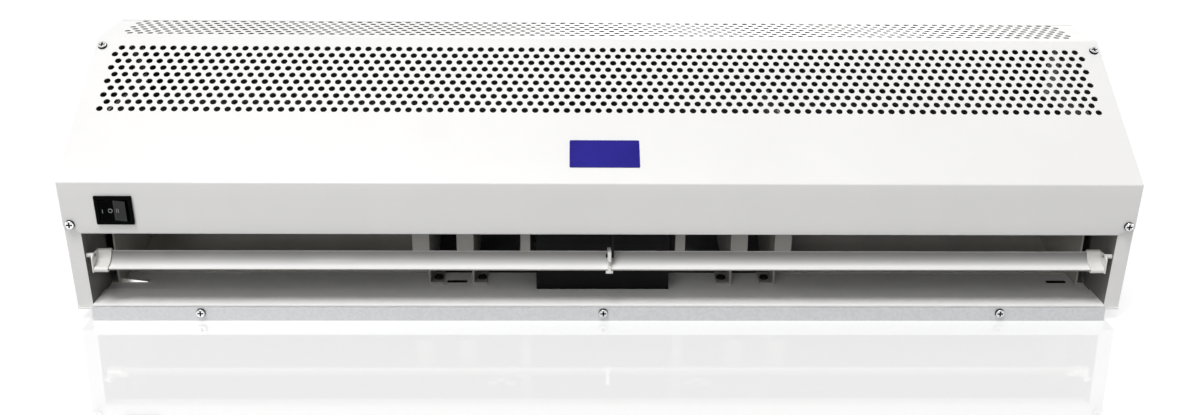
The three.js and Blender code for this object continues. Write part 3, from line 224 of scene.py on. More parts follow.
def extruded(section, x0, x1):
    """A shell from a (y, z) outline pulled along X."""
    return prism(*([(x, y, z) for y, z in section] for x in (x0, x1)))


def slab(outline, z0, z1):
    """A shell from an (x, y) outline pulled along Z."""
    return prism(*([(x, y, z) for x, y in outline] for z in (z0, z1)))


def frame_slab(outer, inner, z0, z1):
    """A shell between two outlines with the same count of points, pulled along Z: a frame with a hole."""
    count = len(outer)
    points = [(x, y, z) for z in (z0, z1) for outline in (outer, inner) for x, y in outline]
    faces = []
    for i in range(count):
        j = (i + 1) % count
        low_out, low_in, high_out, high_in = (k * count for k in range(4))
        faces += [
            (low_out + i, low_in + i, low_in + j, low_out + j),
            (high_out + i, high_out + j, high_in + j, high_in + i),
            (low_out + i, low_out + j, high_out + j, high_out + i),
            (low_in + i, high_in + i, high_in + j, low_in + j),
        ]
    return points, faces


def turned(profile, sides=64):
    """A shell from a closed profile of (radius, x) points turned round the X axis."""
    count = len(profile)
    points = []
    for k in range(sides):
        turn = 2 * math.pi * k / sides
        points += [(x, r * math.cos(turn), r * math.sin(turn)) for r, x in profile]
    faces = []
    for k in range(sides):
        here, there = k * count, (k + 1) % sides * count
        for i in range(count):
            j = (i + 1) % count
            faces.append((here + i, here + j, there + j, there + i))
    return points, faces


def arc(centre, radius, start, end, steps):
    """Points on an arc of a section, with angles from +Y towards +Z."""
    turns = [start + (end - start) * i / steps for i in range(steps + 1)]
    return [(centre[0] + radius * math.cos(t), centre[1] + radius * math.sin(t)) for t in turns]


def circle(radius, sides, centre=(0, 0)):
    return arc(centre, radius, 0, 2 * math.pi, sides)[:-1]


def rounded_rectangle(width, height, radius, steps=5):
    corners = [(1, 1), (-1, 1), (-1, -1), (1, -1)]
    outline = []
    for k, (sx, sy) in enumerate(corners):
        centre = (sx * (width / 2 - radius), sy * (height / 2 - radius))
        outline += arc(centre, radius, k * math.pi / 2, (k + 1) * math.pi / 2, steps)
    return outline


def shade_inner_half(piece, inner_shade):
    """Puts a second material, a dark colour as painted shade, on the inner half of a piece made by Sheet, and
    on the walls of its holes.

    Those walls are the only faces under 2 square millimetres that reach the inner half."""
    piece.data.materials.append(inner_shade)
    count = len(piece.data.vertices) // 2
    for face in piece.data.polygons:
        in_hole = max(face.vertices) >= count and face.area < 2 * MM * MM
        if min(face.vertices) >= count or in_hole:
            face.material_index = 1
    return piece


def bevel(piece, width, segments=2, angle=40):
    """Rounds the edges of a piece or a CAD node by a modifier."""
    rounding = piece.modifiers.new("rounded edges", "BEVEL")
    rounding.width = width * MM
    rounding.segments = segments
    rounding.limit_method = "ANGLE"
    rounding.angle_limit = math.radians(angle)
    rounding.harden_normals = True
    return piece


def dressed(piece, body, material, slot, *nodes):
    """Gives a new piece its material, puts it under its body and hides the CAD nodes it stands for."""
    piece.data.materials.append(material)
    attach(piece, body)
    if nodes:
        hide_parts(*nodes)
    return piece


# ---------------------------------------------------------------- materials

def principled(name, color, roughness, metallic=0.0, **sockets):
    material = bpy.data.materials.new(name)
    material.use_nodes = True
    shader = material.node_tree.nodes["Principled BSDF"]
    shader.inputs["Base Color"].default_value = (*color, 1)
    shader.inputs["Roughness"].default_value = roughness
    shader.inputs["Metallic"].default_value = metallic
    for socket, value in sockets.items():
        shader.inputs[socket.replace("_", " ")].default_value = value
    return material


def coordinates(material, stretch=(1, 1, 1)):
    """Object coordinates in metres, which on every piece are the frame's own, scaled by `stretch`."""
    nodes, links = material.node_tree.nodes, material.node_tree.links
    place = nodes.new("ShaderNodeTexCoord")
    scaled = nodes.new("ShaderNodeMapping")
    scaled.inputs["Scale"].default_value = stretch
    links.new(place.outputs["Object"], scaled.inputs["Vector"])
    return scaled.outputs["Vector"]


def noise(material, scale, detail=3, stretch=(1, 1, 1)):
    """A noise factor around 0.5. `scale` is in features per metre."""
    texture = material.node_tree.nodes.new("ShaderNodeTexNoise")
    texture.inputs["Scale"].default_value = scale
    texture.inputs["Detail"].default_value = detail
    material.node_tree.links.new(coordinates(material, stretch), texture.inputs["Vector"])
    return texture.outputs["Fac"]


def spangle(material, scale):
    """A value per crystal, as on hot-dipped zinc."""
    cells = material.node_tree.nodes.new("ShaderNodeTexVoronoi")
    cells.inputs["Scale"].default_value = scale
    material.node_tree.links.new(coordinates(material), cells.inputs["Vector"])
    return cells.outputs["Color"]


def ramp(material, factor, low, high, start=0.3, end=0.7):
    """Maps a factor to a colour between `low` and `high`."""
    nodes, links = material.node_tree.nodes, material.node_tree.links
    blend = nodes.new("ShaderNodeValToRGB")
    blend.color_ramp.elements[0].position = start
    blend.color_ramp.elements[1].position = end
    blend.color_ramp.elements[0].color = (*low, 1)
    blend.color_ramp.elements[1].color = (*high, 1)
    links.new(factor, blend.inputs["Fac"])
    return blend.outputs["Color"]


def plug(material, output, socket):
    shader = material.node_tree.nodes["Principled BSDF"]
    material.node_tree.links.new(output, shader.inputs[socket])


def vary_roughness(material, factor, low, high):
    plug(material, ramp(material, factor, (low,) * 3, (high,) * 3), "Roughness")


def bumped(material, height, distance, strength=1.0):
    """Relief of `distance` millimetres from a height factor."""
    bump = material.node_tree.nodes.new("ShaderNodeBump")
    bump.inputs["Distance"].default_value = distance * MM
    bump.inputs["Strength"].default_value = strength
    material.node_tree.links.new(height, bump.inputs["Height"])
    plug(material, bump.outputs["Normal"], "Normal")


def darker(color, share):
    return tuple(share * c for c in color)


def satin(material, smoothest, roughest):
    """The faint orange peel of powder coat, with a roughness that is never quite even."""
    vary_roughness(material, noise(material, 60), smoothest, roughest)
    bumped(material, noise(material, 420, 2), 0.05, 0.35)
    return material


def powder_coat(name, color, roughness, gloss=0.5):
    material = principled(name, color, roughness, Specular_IOR_Level=gloss)
    plug(material, ramp(material, noise(material, 9, 4), darker(color, 0.965), color), "Base Color")
    return satin(material, roughness - 0.05, roughness + 0.07)


def calculated(tree, operation, first, second, clamp=False):
    """The output of a Math node over two inputs, each an output or a number."""
    step = tree.nodes.new("ShaderNodeMath")
    step.operation = operation
    step.use_clamp = clamp
    for socket, value in zip(step.inputs, (first, second)):
        if isinstance(value, bpy.types.NodeSocket):
            tree.links.new(value, socket)
        else:
            socket.default_value = value
    return step.outputs["Value"]


def inward_shade_mask(material, inwards, front):
    """How squarely a face looks the way of `inwards`, in the frame's axes: the mask for painted shade.

    It is 0 on all that lies less than `front` millimetres behind the front."""
    nodes, links = material.node_tree.nodes, material.node_tree.links
    face = nodes.new("ShaderNodeTexCoord")
    along = nodes.new("ShaderNodeVectorMath")
    along.operation = "DOT_PRODUCT"
    along.inputs[1].default_value = inwards
    links.new(face.outputs["Normal"], along.inputs[0])
    split = nodes.new("ShaderNodeSeparateXYZ")
    links.new(face.outputs["Object"], split.inputs["Vector"])
    behind = calculated(material.node_tree, "GREATER_THAN", split.outputs["Y"], (FRONT_Y + front) * MM)
    return calculated(material.node_tree, "MULTIPLY", along.outputs["Value"], behind)


def paint_with_inner_shade(name, inner_shade, front, *ways_in):
    """White powder coat, with a darker colour as painted shade on the faces that look one of the ways in."""
    material = principled(name, PAINT_WHITE, 0.4)
    factor = inward_shade_mask(material, ways_in[0], front)
    for inwards in ways_in[1:]:
        factor = calculated(material.node_tree, "MAXIMUM", factor, inward_shade_mask(material, inwards, front))
    plug(material, ramp(material, factor, PAINT_WHITE, inner_shade, 0.6, 0.7), "Base Color")
    return satin(material, 0.35, 0.5)


def vane_paint_with_shade():
    """Satin paint, white on the lip, with painted shade that greys the trough where it faces the outlet."""
    # Painted shade: this grey takes over where a face of the trough looks out of the outlet.
    trough = (0.19, 0.187, 0.178)
    material = principled("vane paint", BRIGHT_WHITE, 0.4)
    squarely = inward_shade_mask(material, (0, -1, 0), 0)
    plug(material, ramp(material, squarely, BRIGHT_WHITE, trough, 0.35, 1), "Base Color")
    return satin(material, 0.35, 0.5)


def galvanised():
    """Zinc with a fine, faint spangle."""
    material = principled("galvanised sheet", (0.67, 0.69, 0.7), 0.4, 0.3)
    crystals = spangle(material, 420)
    plug(material, ramp(material, crystals, (0.65, 0.665, 0.68), (0.7, 0.71, 0.72)), "Base Color")
    vary_roughness(material, crystals, 0.34, 0.46)
    bumped(material, noise(material, 300, 3), 0.02, 0.4)
    return material


def moulded(name, color, roughness, grain=0.03, gloss=0.5):
    """Injection-moulded plastic with a fine spark-eroded grain."""
    material = principled(name, color, roughness, Specular_IOR_Level=gloss)
    plug(material, ramp(material, noise(material, 14), darker(color, 0.95), color), "Base Color")
    vary_roughness(material, noise(material, 90), roughness - 0.04, roughness + 0.06)
    bumped(material, noise(material, 1500, 1), grain, 0.5)
    return material


def brushed(name, color, roughness, stretch=(4, 60, 60)):
    """Drawn or turned metal, with fine lines along its length."""
    material = principled(name, color, roughness, 1.0)
    lines = noise(material, 30, 4, stretch)
    plug(material, ramp(material, lines, darker(color, 0.85), color), "Base Color")
    vary_roughness(material, lines, roughness - 0.06, roughness + 0.1)
    bumped(material, lines, 0.02, 0.3)
    return material


def chrome():
    material = principled("bright plating", (0.7, 0.7, 0.71), 0.14, 1.0)
    vary_roughness(material, noise(material, 400), 0.1, 0.22)
    return material


def enamel():
    """The blue lacquer of the bare badge, faintly uneven."""
    material = principled("blue enamel", (0.02, 0.015, 0.25), 0.25, Specular_IOR_Level=0.12)
    clouds = noise(material, 22, 2)
    plug(material, ramp(material, clouds, (0.014, 0.01, 0.2), (0.026, 0.02, 0.3)), "Base Color")
    bumped(material, noise(material, 700, 1), 0.01, 0.2)
    return material


PAINT_WHITE = (0.86, 0.855, 0.845)
BRIGHT_WHITE = (0.95, 0.945, 0.93)
# Painted shade: the next two colours darken the inside of the cover and pan, and the inner faces of the side
# panels, for the shade there.
INSIDE_SHADE = (0.03, 0.03, 0.031)
CHEEK_SHADE = (0.18, 0.176, 0.165)

WHITE_PAINT = powder_coat("white powder coat", PAINT_WHITE, 0.36)
# Both greys are the duct's paint made darker than its own colour: painted shade of the duct's inside.
DUCT_PAINT_SHADED = powder_coat("duct paint", (0.41, 0.4, 0.375), 0.42)
SCROLL_PAINT_SHADED = powder_coat("scroll paint", (0.5, 0.475, 0.44), 0.5)
FLOOR_PAINT = powder_coat("outlet paint", BRIGHT_WHITE, 0.36)
# The dark inside of the cover and the dark or grey inner faces of pan and panels are painted shade.
INNER_SHADE_PAINT = powder_coat("dark lining", INSIDE_SHADE, 0.6)
PAN_PAINT = paint_with_inner_shade("pan paint", INSIDE_SHADE, 20, (0, 0, 1), (0, -1, 0))
PANEL_PAINT = {
    "left": paint_with_inner_shade("left panel paint", CHEEK_SHADE, 2, (1, 0, 0)),
    "right": paint_with_inner_shade("right panel paint", CHEEK_SHADE, 2, (-1, 0, 0)),
}
VANE_SHADED_PAINT = vane_paint_with_shade()
BLACK_PAINT = powder_coat("black paint", (0.006, 0.006, 0.0065), 0.6, 0.12)
GALVANISED = galvanised()
WHITE_PLASTIC = moulded("white plastic", (0.82, 0.81, 0.78), 0.35)
BLACK_GLOSS = moulded("black gloss plastic", (0.0015, 0.0015, 0.0018), 0.2, 0.004, 0.02)
# A lighter, glossier copy of the black gloss plastic: a painted highlight for the rocker's right wing.
ROCKER_HIGHLIGHT = moulded("rocker highlight plastic", (0.012, 0.0125, 0.0125), 0.2, 0.004, 0.3)
BLACK_PLASTIC = moulded("black fan plastic", (0.012, 0.012, 0.013), 0.5, 0.03, 0.25)
MARK_PAINT = moulded("switch marks", (0.2, 0.21, 0.22), 0.4)
RUBBER = moulded("rubber", (0.02, 0.02, 0.022), 0.75, 0.08, 0.3)
BRIGHT_STEEL = brushed("ground steel", (0.6, 0.6, 0.61), 0.22)
ALUMINIUM = brushed("aluminium", (0.7, 0.71, 0.72), 0.32)
CHROME = chrome()
POLISHED = brushed("polished cover", (0.95, 0.94, 0.92), 0.14)
# Black for the strips in the outlet floor's slots, standing for the shade in them: painted shade.
SLOT_SHADE_BLACK = moulded("slot shade black", (0.006, 0.006, 0.006), 0.7, 0.02, 0.1)
ENAMEL = enamel()


# ---------------------------------------------------------------- perforated cover

def fold(before, corner, after, radius, steps):
    """Stations round a fold in the cover's section: points on its outer face, with the way inwards."""
    into, out = (corner - before).normalized(), (after - corner).normalized()
    turn = into.angle_signed(out)
    setback = radius * math.tan(abs(turn) / 2)
    side = Vector((-into.y, into.x)) * (1 if turn < 0 else -1)
    centre = corner - into * setback + side * radius
    stations = []
    for i in range(steps + 1):
        spoke = (corner - into * setback) - centre
        spoke.rotate(Matrix.Rotation(-turn * i / steps, 2))
        stations.append((centre + spoke, -spoke.normalized()))
    return stations


def cover_stations():
    """The stations of the cover's section, and which rows between two of them hold how many holes.

    The section runs from the rear seam over the top, down the slope and the fascia, and into the hem."""
    rear_top = Vector((BACK_Y, TOP_Z))
    seam = Vector((BACK_Y, TOP_Z - REAR_SEAM_DROP))
    hem_end = FASCIA_FOOT + Vector((HEM_DEPTH, 0))
    stations, rows = [(seam, Vector((-1, 0)))], {}
    stations += fold(seam, rear_top, TOP_FOLD, REAR_RADIUS, 10)

    down = Vector((0, -1))
    half = HOLE_ROW_STEP / 2
    for k in range(TOP_ROWS, -1, -1):
        away = HOLE_MARGIN + k * HOLE_ROW_STEP - half
        if k < TOP_ROWS:
            rows[len(stations) - 1] = HOLES_PER_ROW - 1 + k % 2
        stations.append((TOP_FOLD + Vector((away, 0)), down))
    stations += fold(rear_top, TOP_FOLD, FRONT_FOLD, FOLD_RADIUS, 4)

    inwards = Vector((-DOWN_SLOPE.y, DOWN_SLOPE.x))
    for k in range(SLOPE_ROWS + 1):
        stations.append((TOP_FOLD + DOWN_SLOPE * (HOLE_MARGIN + k * HOLE_ROW_STEP - half), inwards))
        if k < SLOPE_ROWS:
            rows[len(stations) - 1] = HOLES_PER_ROW - 1 + k % 2
    stations += fold(TOP_FOLD, FRONT_FOLD, FASCIA_FOOT, FOLD_RADIUS, 6)

    inwards = Vector((-DOWN_FASCIA.y, DOWN_FASCIA.x))
    middle = (FRONT_EDGE_Z - SWITCH_Z) / math.cos(FASCIA_LEAN)
    window = SWITCH_BODY["height"] / 2 + GAP
    rows["window"] = len(stations)
    stations += [(FRONT_FOLD + DOWN_FASCIA * (middle + s * window), inwards) for s in (-1, 1)]
    rows["foot"] = len(stations)
    stations += fold(FRONT_FOLD, FASCIA_FOOT, hem_end, HEM_RADIUS, 4)
    rows["hem"] = len(stations) - 3
    stations.append((hem_end, Vector((0, 1))))
    return stations, rows


def cover_columns():
    """X of the columns: half a pitch apart over the holes, and wider at the plain ends."""
    reach = HOLES_PER_ROW
    columns = {k: k * HOLE_PITCH / 2 for k in range(-reach, reach + 1)}
    for side in (-1, 1):
        columns[side * (reach + 1)] = side * LINER_END
        columns[side * (reach + 2)] = side * END_X
    return columns


class Sheet:
    """Collects the outer faces of a sheet by named corners, then closes it through its thickness."""

    def __init__(self, thickness):
        self.thickness = thickness
        self.corners = {}
        self.faces = []

    def corner(self, key, place, inwards, depth=0):
        """A corner at `place` on the outer face, or `depth` below it."""
        if key not in self.corners:
            self.corners[key] = (place + inwards * depth, place + inwards * self.thickness)
        return key

    def closed(self):
        number = {key: i for i, key in enumerate(self.corners)}
        count = len(number)
        points = [c[0] for c in self.corners.values()] + [c[1] for c in self.corners.values()]
        outer = [tuple(number[key] for key in face) for face in self.faces]
        edges = {}
        for face in outer:
            for a, b in zip(face, face[1:] + face[:1]):
                edges[(a, b)] = edges.get((a, b), 0) + 1
        free = [(a, b) for a, b in edges if (b, a) not in edges]
        walls = [(b, a, a + count, b + count) for a, b in free]
        inner = [tuple(i + count for i in reversed(face)) for face in outer]
        return points, outer + inner + walls


def punched_cell(sheet, corners, centre, along, down, inwards, name):
    """The faces of one cell of the sheet round a round hole with a softened edge.

    `corners` are the cell's six corners, round from the middle of its upper edge."""
    lip, rim = [], []
    for i in range(HOLE_SIDES):
        turn = math.pi / 2 - 2 * math.pi * i / HOLE_SIDES
        spoke = along * math.cos(turn) - down * math.sin(turn)
        lip.append(sheet.corner((name, "lip", i), centre + spoke * (HOLE_RADIUS + HOLE_EDGE), inwards))
        rim.append(sheet.corner((name, "rim", i), centre + spoke * HOLE_RADIUS, inwards, HOLE_EDGE))
    share = HOLE_SIDES // 6
    for k in range(6):
        span = [lip[(k * share + i) % HOLE_SIDES] for i in range(share + 1)]
        sheet.faces.append((corners[k], corners[(k + 1) % 6], *reversed(span)))
    for i in range(HOLE_SIDES):
        j = (i + 1) % HOLE_SIDES
        sheet.faces.append((lip[i], lip[j], rim[j], rim[i]))


def perforated_cover():
    stations, rows = cover_stations()
    columns = cover_columns()
    last = max(columns)
    window_row, foot_row, hem_row = (rows.pop(name) for name in ("window", "foot", "hem"))
    window_half = SWITCH_BODY["width"] / 2 + GAP
    window_edges = SWITCH_X - window_half, SWITCH_X + window_half
    window = [min(columns, key=lambda k: abs(columns[k] - x)) for x in window_edges]
    window_x = dict(zip(window, window_edges))
    sheet = Sheet(SHEET)

    def corner(column, row):
        on_window = row in (window_row, window_row + 1)
        x = window_x.get(column, columns[column]) if on_window else columns[column]
        (y, z), (inwards_y, inwards_z) = stations[row]
        if abs(column) == last and row >= foot_row:
            y, z = Vector((y, z)) - DOWN_FASCIA * CORNER_RISE
        return sheet.corner((column, row), Vector((x, y, z)), Vector((0, inwards_y, inwards_z)))

    def plain(column, row):
        ring = ((column, row), (column + 1, row), (column + 1, row + 1), (column, row + 1))
        sheet.faces.append(tuple(corner(*key) for key in ring))

    for row in range(len(stations) - 1):
        holes = rows.get(row, 0)
        for column in range(-last, last):
            in_holes = holes and -holes <= column < holes
            in_window = row == window_row and window[0] <= column < window[1]
            past_hem = row >= hem_row and not -last < column < last - 1
            if not (in_holes or in_window or past_hem):
                plain(column, row)
        (y0, z0), (inwards_y, inwards_z) = stations[row]
        (y1, z1), _ = stations[row + 1]
        inwards = Vector((0, inwards_y, inwards_z))
        down = Vector((0, y1 - y0, z1 - z0)).normalized()
        for k in range(holes):
            left = 2 * k - holes
            middle, right = left + 1, left + 2
            ring = [(middle, row), (right, row), (right, row + 1)]
            ring += [(middle, row + 1), (left, row + 1), (left, row)]
            centre = Vector((columns[middle], (y0 + y1) / 2, (z0 + z1) / 2))
            corners = [corner(*key) for key in ring]
            punched_cell(sheet, corners, centre, Vector((1, 0, 0)), down, inwards, (row, k))
    cover = mesh_object("perforated_cover", *sheet.closed(), sharp=30)
    # Its inner half gets a dark colour: painted shade.
    return shade_inner_half(dressed(cover, "chassis", WHITE_PAINT, "white_paint", "front_cover"), INNER_SHADE_PAINT)


def on_slope(x, down, out):
    """The frame of a seat on the slope: z out of the sheet, y up the slope."""
    place = TOP_FOLD + DOWN_SLOPE * down
    outwards = Vector((DOWN_SLOPE.y, -DOWN_SLOPE.x))
    z_axis = Vector((0, *outwards))
    y_axis = Vector((0, *(-DOWN_SLOPE)))
    return seat(Vector((x, *place)) + z_axis * out, y_axis, z_axis)


def on_fascia(x, z, out=0):
    """The same on the fascia, at height z."""
    place = FRONT_FOLD + DOWN_FASCIA * ((FRONT_EDGE_Z - z) / math.cos(FASCIA_LEAN))
    z_axis = Vector((0, DOWN_FASCIA.y, -DOWN_FASCIA.x))
    y_axis = Vector((0, *(-DOWN_FASCIA)))
    return seat(Vector((x, *place)) + z_axis * out, y_axis, z_axis)


def seat(place, y_axis, z_axis):
    x_axis = y_axis.cross(z_axis)
    matrix = Matrix((x_axis, y_axis, z_axis)).transposed().to_4x4()
    matrix.translation = place
    return matrix


def badge_plate():
    """The bare lacquered plate on the slope."""
    shell = slab(rounded_rectangle(BADGE["width"], BADGE["height"], BADGE["corner"]), 0, BADGE["thickness"])
    plate = mesh_object("badge_plate", *moved(shell, on_slope(0, BADGE["middle"], AIR)))
    return dressed(bevel(plate, 0.35, 3), "chassis", ENAMEL, "white_paint")


def slot_covers():
    """A polished wedge over the slot at the left end of the outlet floor, and black strips in the others that
    stand for the shade in those slots: painted shade.
    """
    half = SLOT_COVER_DEPTH / 2

    def end(x, top):
        return [(x, y, z) for y, z in ((-half, 0), (half, 0), (half, 0.6 * top), (0.36 * top - half, top))]

    reach = WEDGE["half_length"]
    shell = prism(end(-reach, WEDGE["left_height"]), end(reach, WEDGE["right_height"]))
    place = Matrix.Translation((SLOT_END_INSET - LINER_END + WEDGE["shift"], SLOT_Y, FLOOR_TOP_Z + AIR))
    wedge = mesh_object("slot_wedge", *moved(shell, place))
    dressed(bevel(wedge, 0.2), "chassis", POLISHED, "screw_steel")
    outline = rounded_rectangle(STRIP["length"], SLOT_COVER_DEPTH, STRIP["corner"])
    strip = slab(outline, AIR, AIR + STRIP["thickness"])
    places = [Matrix.Translation((x, SLOT_Y, FLOOR_TOP_Z)) for x in (-SLOT_X, LINER_END - SLOT_END_INSET)]
    strips = mesh_object("slot_shade_strips", *merged(*(moved(strip, place) for place in places)))
    return dressed(bevel(strips, 0.12), "chassis", SLOT_SHADE_BLACK, "black_plastic")


# ---------------------------------------------------------------- switch

def switch_housing():
    """The bezel on the fascia, the body behind it round the rocker's well, and three terminals."""
    width, height, rim = BEZEL["width"], BEZEL["height"], BEZEL["rim"]
    well = rounded_rectangle(width - 2 * rim, height - 2 * rim + WELL["stretch"], WELL["corner"])
    body = rounded_rectangle(SWITCH_BODY["width"], SWITCH_BODY["height"], SWITCH_BODY["corner"])
    well_floor, back_z = -ROCKER["skirt"] - WELL["depth"], -SWITCH_BODY["depth"]
    bezel = frame_slab(rounded_rectangle(width, height, BEZEL["corner"]), well, GAP, BEZEL["thickness"])
    walls = frame_slab(body, well, well_floor, 1)
    back = slab(body, back_z, well_floor + 0.5)
    tab = slab(
        rounded_rectangle(TERMINAL["thickness"], TERMINAL["width"], TERMINAL["corner"], 2),
        back_z - TERMINAL["length"],
        back_z + 1,
    )
    tabs = [moved(tab, Matrix.Translation((TERMINAL["pitch"] * i, 0, 0))) for i in (-1, 0, 1)]
    shell = moved(merged(bezel, walls, back, *tabs), on_fascia(SWITCH_X, SWITCH_Z))
    housing = mesh_object("switch_housing", *shell)
    return dressed(bevel(housing, 0.4, 3), "chassis", BLACK_GLOSS, "black_plastic", "switch_body")


def rocker_seat():
    return on_fascia(SWITCH_X, SWITCH_Z, BEZEL["thickness"] - ROCKER["pivot_depth"])


def wing_height(x):
    """Height of the rocker's dished face over its pivot, rising from the middle towards both ends."""
    dip, crown = (ROCKER[k] + ROCKER["pivot_depth"] for k in ("dip", "crown"))
    return dip + (crown - dip) * (abs(x) / WING_REACH) ** ROCKER_CURVE


def rocker_section():
    """The rocker's (x, z) outline round its pivot."""
    bottom = math.asin((ROCKER["skirt"] - ROCKER["pivot_depth"]) / ROCKER_RADIUS)
    right = arc((0, 0), ROCKER_RADIUS, -bottom, ROCKER_TOP, 8)
    left = arc((0, 0), ROCKER_RADIUS, math.pi - ROCKER_TOP, math.pi + bottom, 8)
    along = [WING_REACH * step / 10 for step in range(9, -10, -1)]
    return [*right, *((x, wing_height(x)) for x in along), *left]


def rocker():
    """The key. The rise of its right wing gets a lighter, glossier copy of the black plastic: a painted
    highlight.
    """
    half = ROCKER["height"] / 2
    section = rocker_section()
    shell = prism(*([(x, y, z) for x, z in section] for y in (half, -half)))
    key = mesh_object("rocker_key", *moved(shell, rocker_seat()))
    dressed(bevel(key, 0.45, 3), "rocker", BLACK_GLOSS, "black_plastic", "switch_rocker")
    # Painted highlight: the right wing's rise gets the lighter, glossier copy.
    key.data.materials.append(ROCKER_HIGHLIGHT)
    for face in key.data.polygons:
        if face.center.x > SWITCH_X * MM and abs(face.normal.z) < 0.5 and face.normal.y < -0.9:
            face.material_index = 1
    return key


def rocker_marks():
    """I, O and II, printed across the rocker."""
    outline = rounded_rectangle(MARK["width"], MARK["length"], 0.2, 2)
    stroke = slab(outline, -MARK["sunk"], MARK["proud"])
    ring = frame_slab(circle(ZERO["outer"], 28), circle(ZERO["inner"], 28), -MARK["sunk"], ZERO["proud"])
    shapes = [(x, stroke) for x in STROKES_X] + [(ZERO["x"], ring)]
    shell = merged(*(moved(shape, Matrix.Translation((x, 0, wing_height(x)))) for x, shape in shapes))
    marks = mesh_object("rocker_marks", *moved(shell, rocker_seat()))
    return dressed(marks, "rocker", MARK_PAINT, "black_plastic")


# ---------------------------------------------------------------- vane

def trough_section(inner, outer, grow=0, steps=24):
    """A bent strip about the trough's centre whose edges are rounded and reach on by `grow`."""
    lead = grow / VANE_RADIUS
    start, end = -math.pi / 2 - lead, VANE_SWEEP - math.pi / 2 + lead
    middle, half = (inner + outer) / 2, (outer - inner) / 2
    inset = half / middle
    return [
        *arc(VANE_CENTRE, outer, start + inset, end - inset, steps),
        *arc(tip(middle, end - inset), half, end - inset, end - inset + math.pi, 6)[1:-1],
        *arc(VANE_CENTRE, inner, end - inset, start + inset, steps),
        *arc(tip(middle, start + inset), half, start + inset + math.pi, start + inset + 2 * math.pi, 6)[1:-1],
    ]


def tip(radius, turn):
    return VANE_CENTRE.x + radius * math.cos(turn), VANE_CENTRE.y + radius * math.sin(turn)


def vane_trough():
    section = trough_section(VANE_RADIUS, VANE_RADIUS + VANE_THICKNESS)
    trough = mesh_object("vane_trough", *extruded(section, BLADE_LOW.x, BLADE_HIGH.x))
    return dressed(trough, "vane", VANE_SHADED_PAINT, "white_paint", "vane_blade")


def vane_end(side, name):
    """A moulded sleeve round the blade's end, closed by a quarter-round wall with the pivot pin."""
    inner, tip = sorted((corner.x for corner in cad(f"vane_cap_{name}")), key=abs)
    face = tip - side * (1.5 * VANE_END_GAP + SHEET)
    wall_start = face - side * VANE_CAP_WALL
    wrap = GAP + VANE_CAP_WALL
    outside = trough_section(VANE_RADIUS - wrap, VANE_RADIUS + VANE_THICKNESS + wrap, wrap)
    inside = trough_section(VANE_RADIUS - GAP, VANE_RADIUS + VANE_THICKNESS + GAP, GAP)
    along_x = Matrix(((0, 0, 1), (1, 0, 0), (0, 1, 0))).to_4x4()
    sleeve = moved(frame_slab(outside, inside, inner, wall_start), along_x)
    rim = arc(VANE_CENTRE, VANE_RADIUS + VANE_THICKNESS + wrap, -math.pi / 2, VANE_SWEEP - math.pi / 2, 24)
    lip, edge = rim[0], rim[-1]
    corner = (lip[0] - wrap, lip[1] + VANE_CAP_SHOULDER), (edge[0] - VANE_CAP_SHOULDER, edge[1] + wrap)
    front = rounded_corner(*corner, lip)
    wall = extruded([(lip[0] - wrap, lip[1]), *rim, (edge[0], edge[1] + wrap), *front], wall_start, face)
    pin = extruded(circle(VANE_PIN_RADIUS, 28, pivot_of_vane()), wall_start, tip)
    end = mesh_object(f"vane_end_{name}", *merged(sleeve, wall, pin), sharp=50)
    return dressed(bevel(end, 0.5, 3), "vane", WHITE_PLASTIC, "white_plastic", f"vane_cap_{name}")


def rounded_corner(low, high, lip):
    """The end wall's front edge, bulging from its lower end towards the cover."""
    low, high, lip = Vector(low), Vector(high), Vector(lip)
    middle = low.lerp(high, 0.5)
    bulge = middle + (middle - lip) * 0.12
    shares = [i / 8 for i in range(9)]
    return [tuple((1 - t) ** 2 * high + 2 * t * (1 - t) * bulge + t**2 * low) for t in shares]


def pivot_of_vane():
    joint = next(j for j in frame["joints"] if j["name"] == "vane_tilt")
    return joint["pos_m"][1] / MM, joint["pos_m"][2] / MM


# ---------------------------------------------------------------- fans and duct

def blade_section(turn):
    """One blade of a fan: a bent strip, in (y, z) about the axis."""
    depth, half = FAN_BLADE["depth"], FAN_BLADE["thickness"] / 2
    inner = FAN_RADIUS - FAN_BLADE["rim"] - depth
    upper, lower = [], []
    for i in range(7):
        share = i / 6
        u = inner + depth * share
        v = FAN_BLADE["camber"] * 4 * share * (1 - share)
        lower.append((u, v - half))
        upper.append((u, v + half))
    c, s = math.cos(turn), math.sin(turn)
    return [(u * c - v * s, u * s + v * c) for u, v in lower + upper[::-1]]


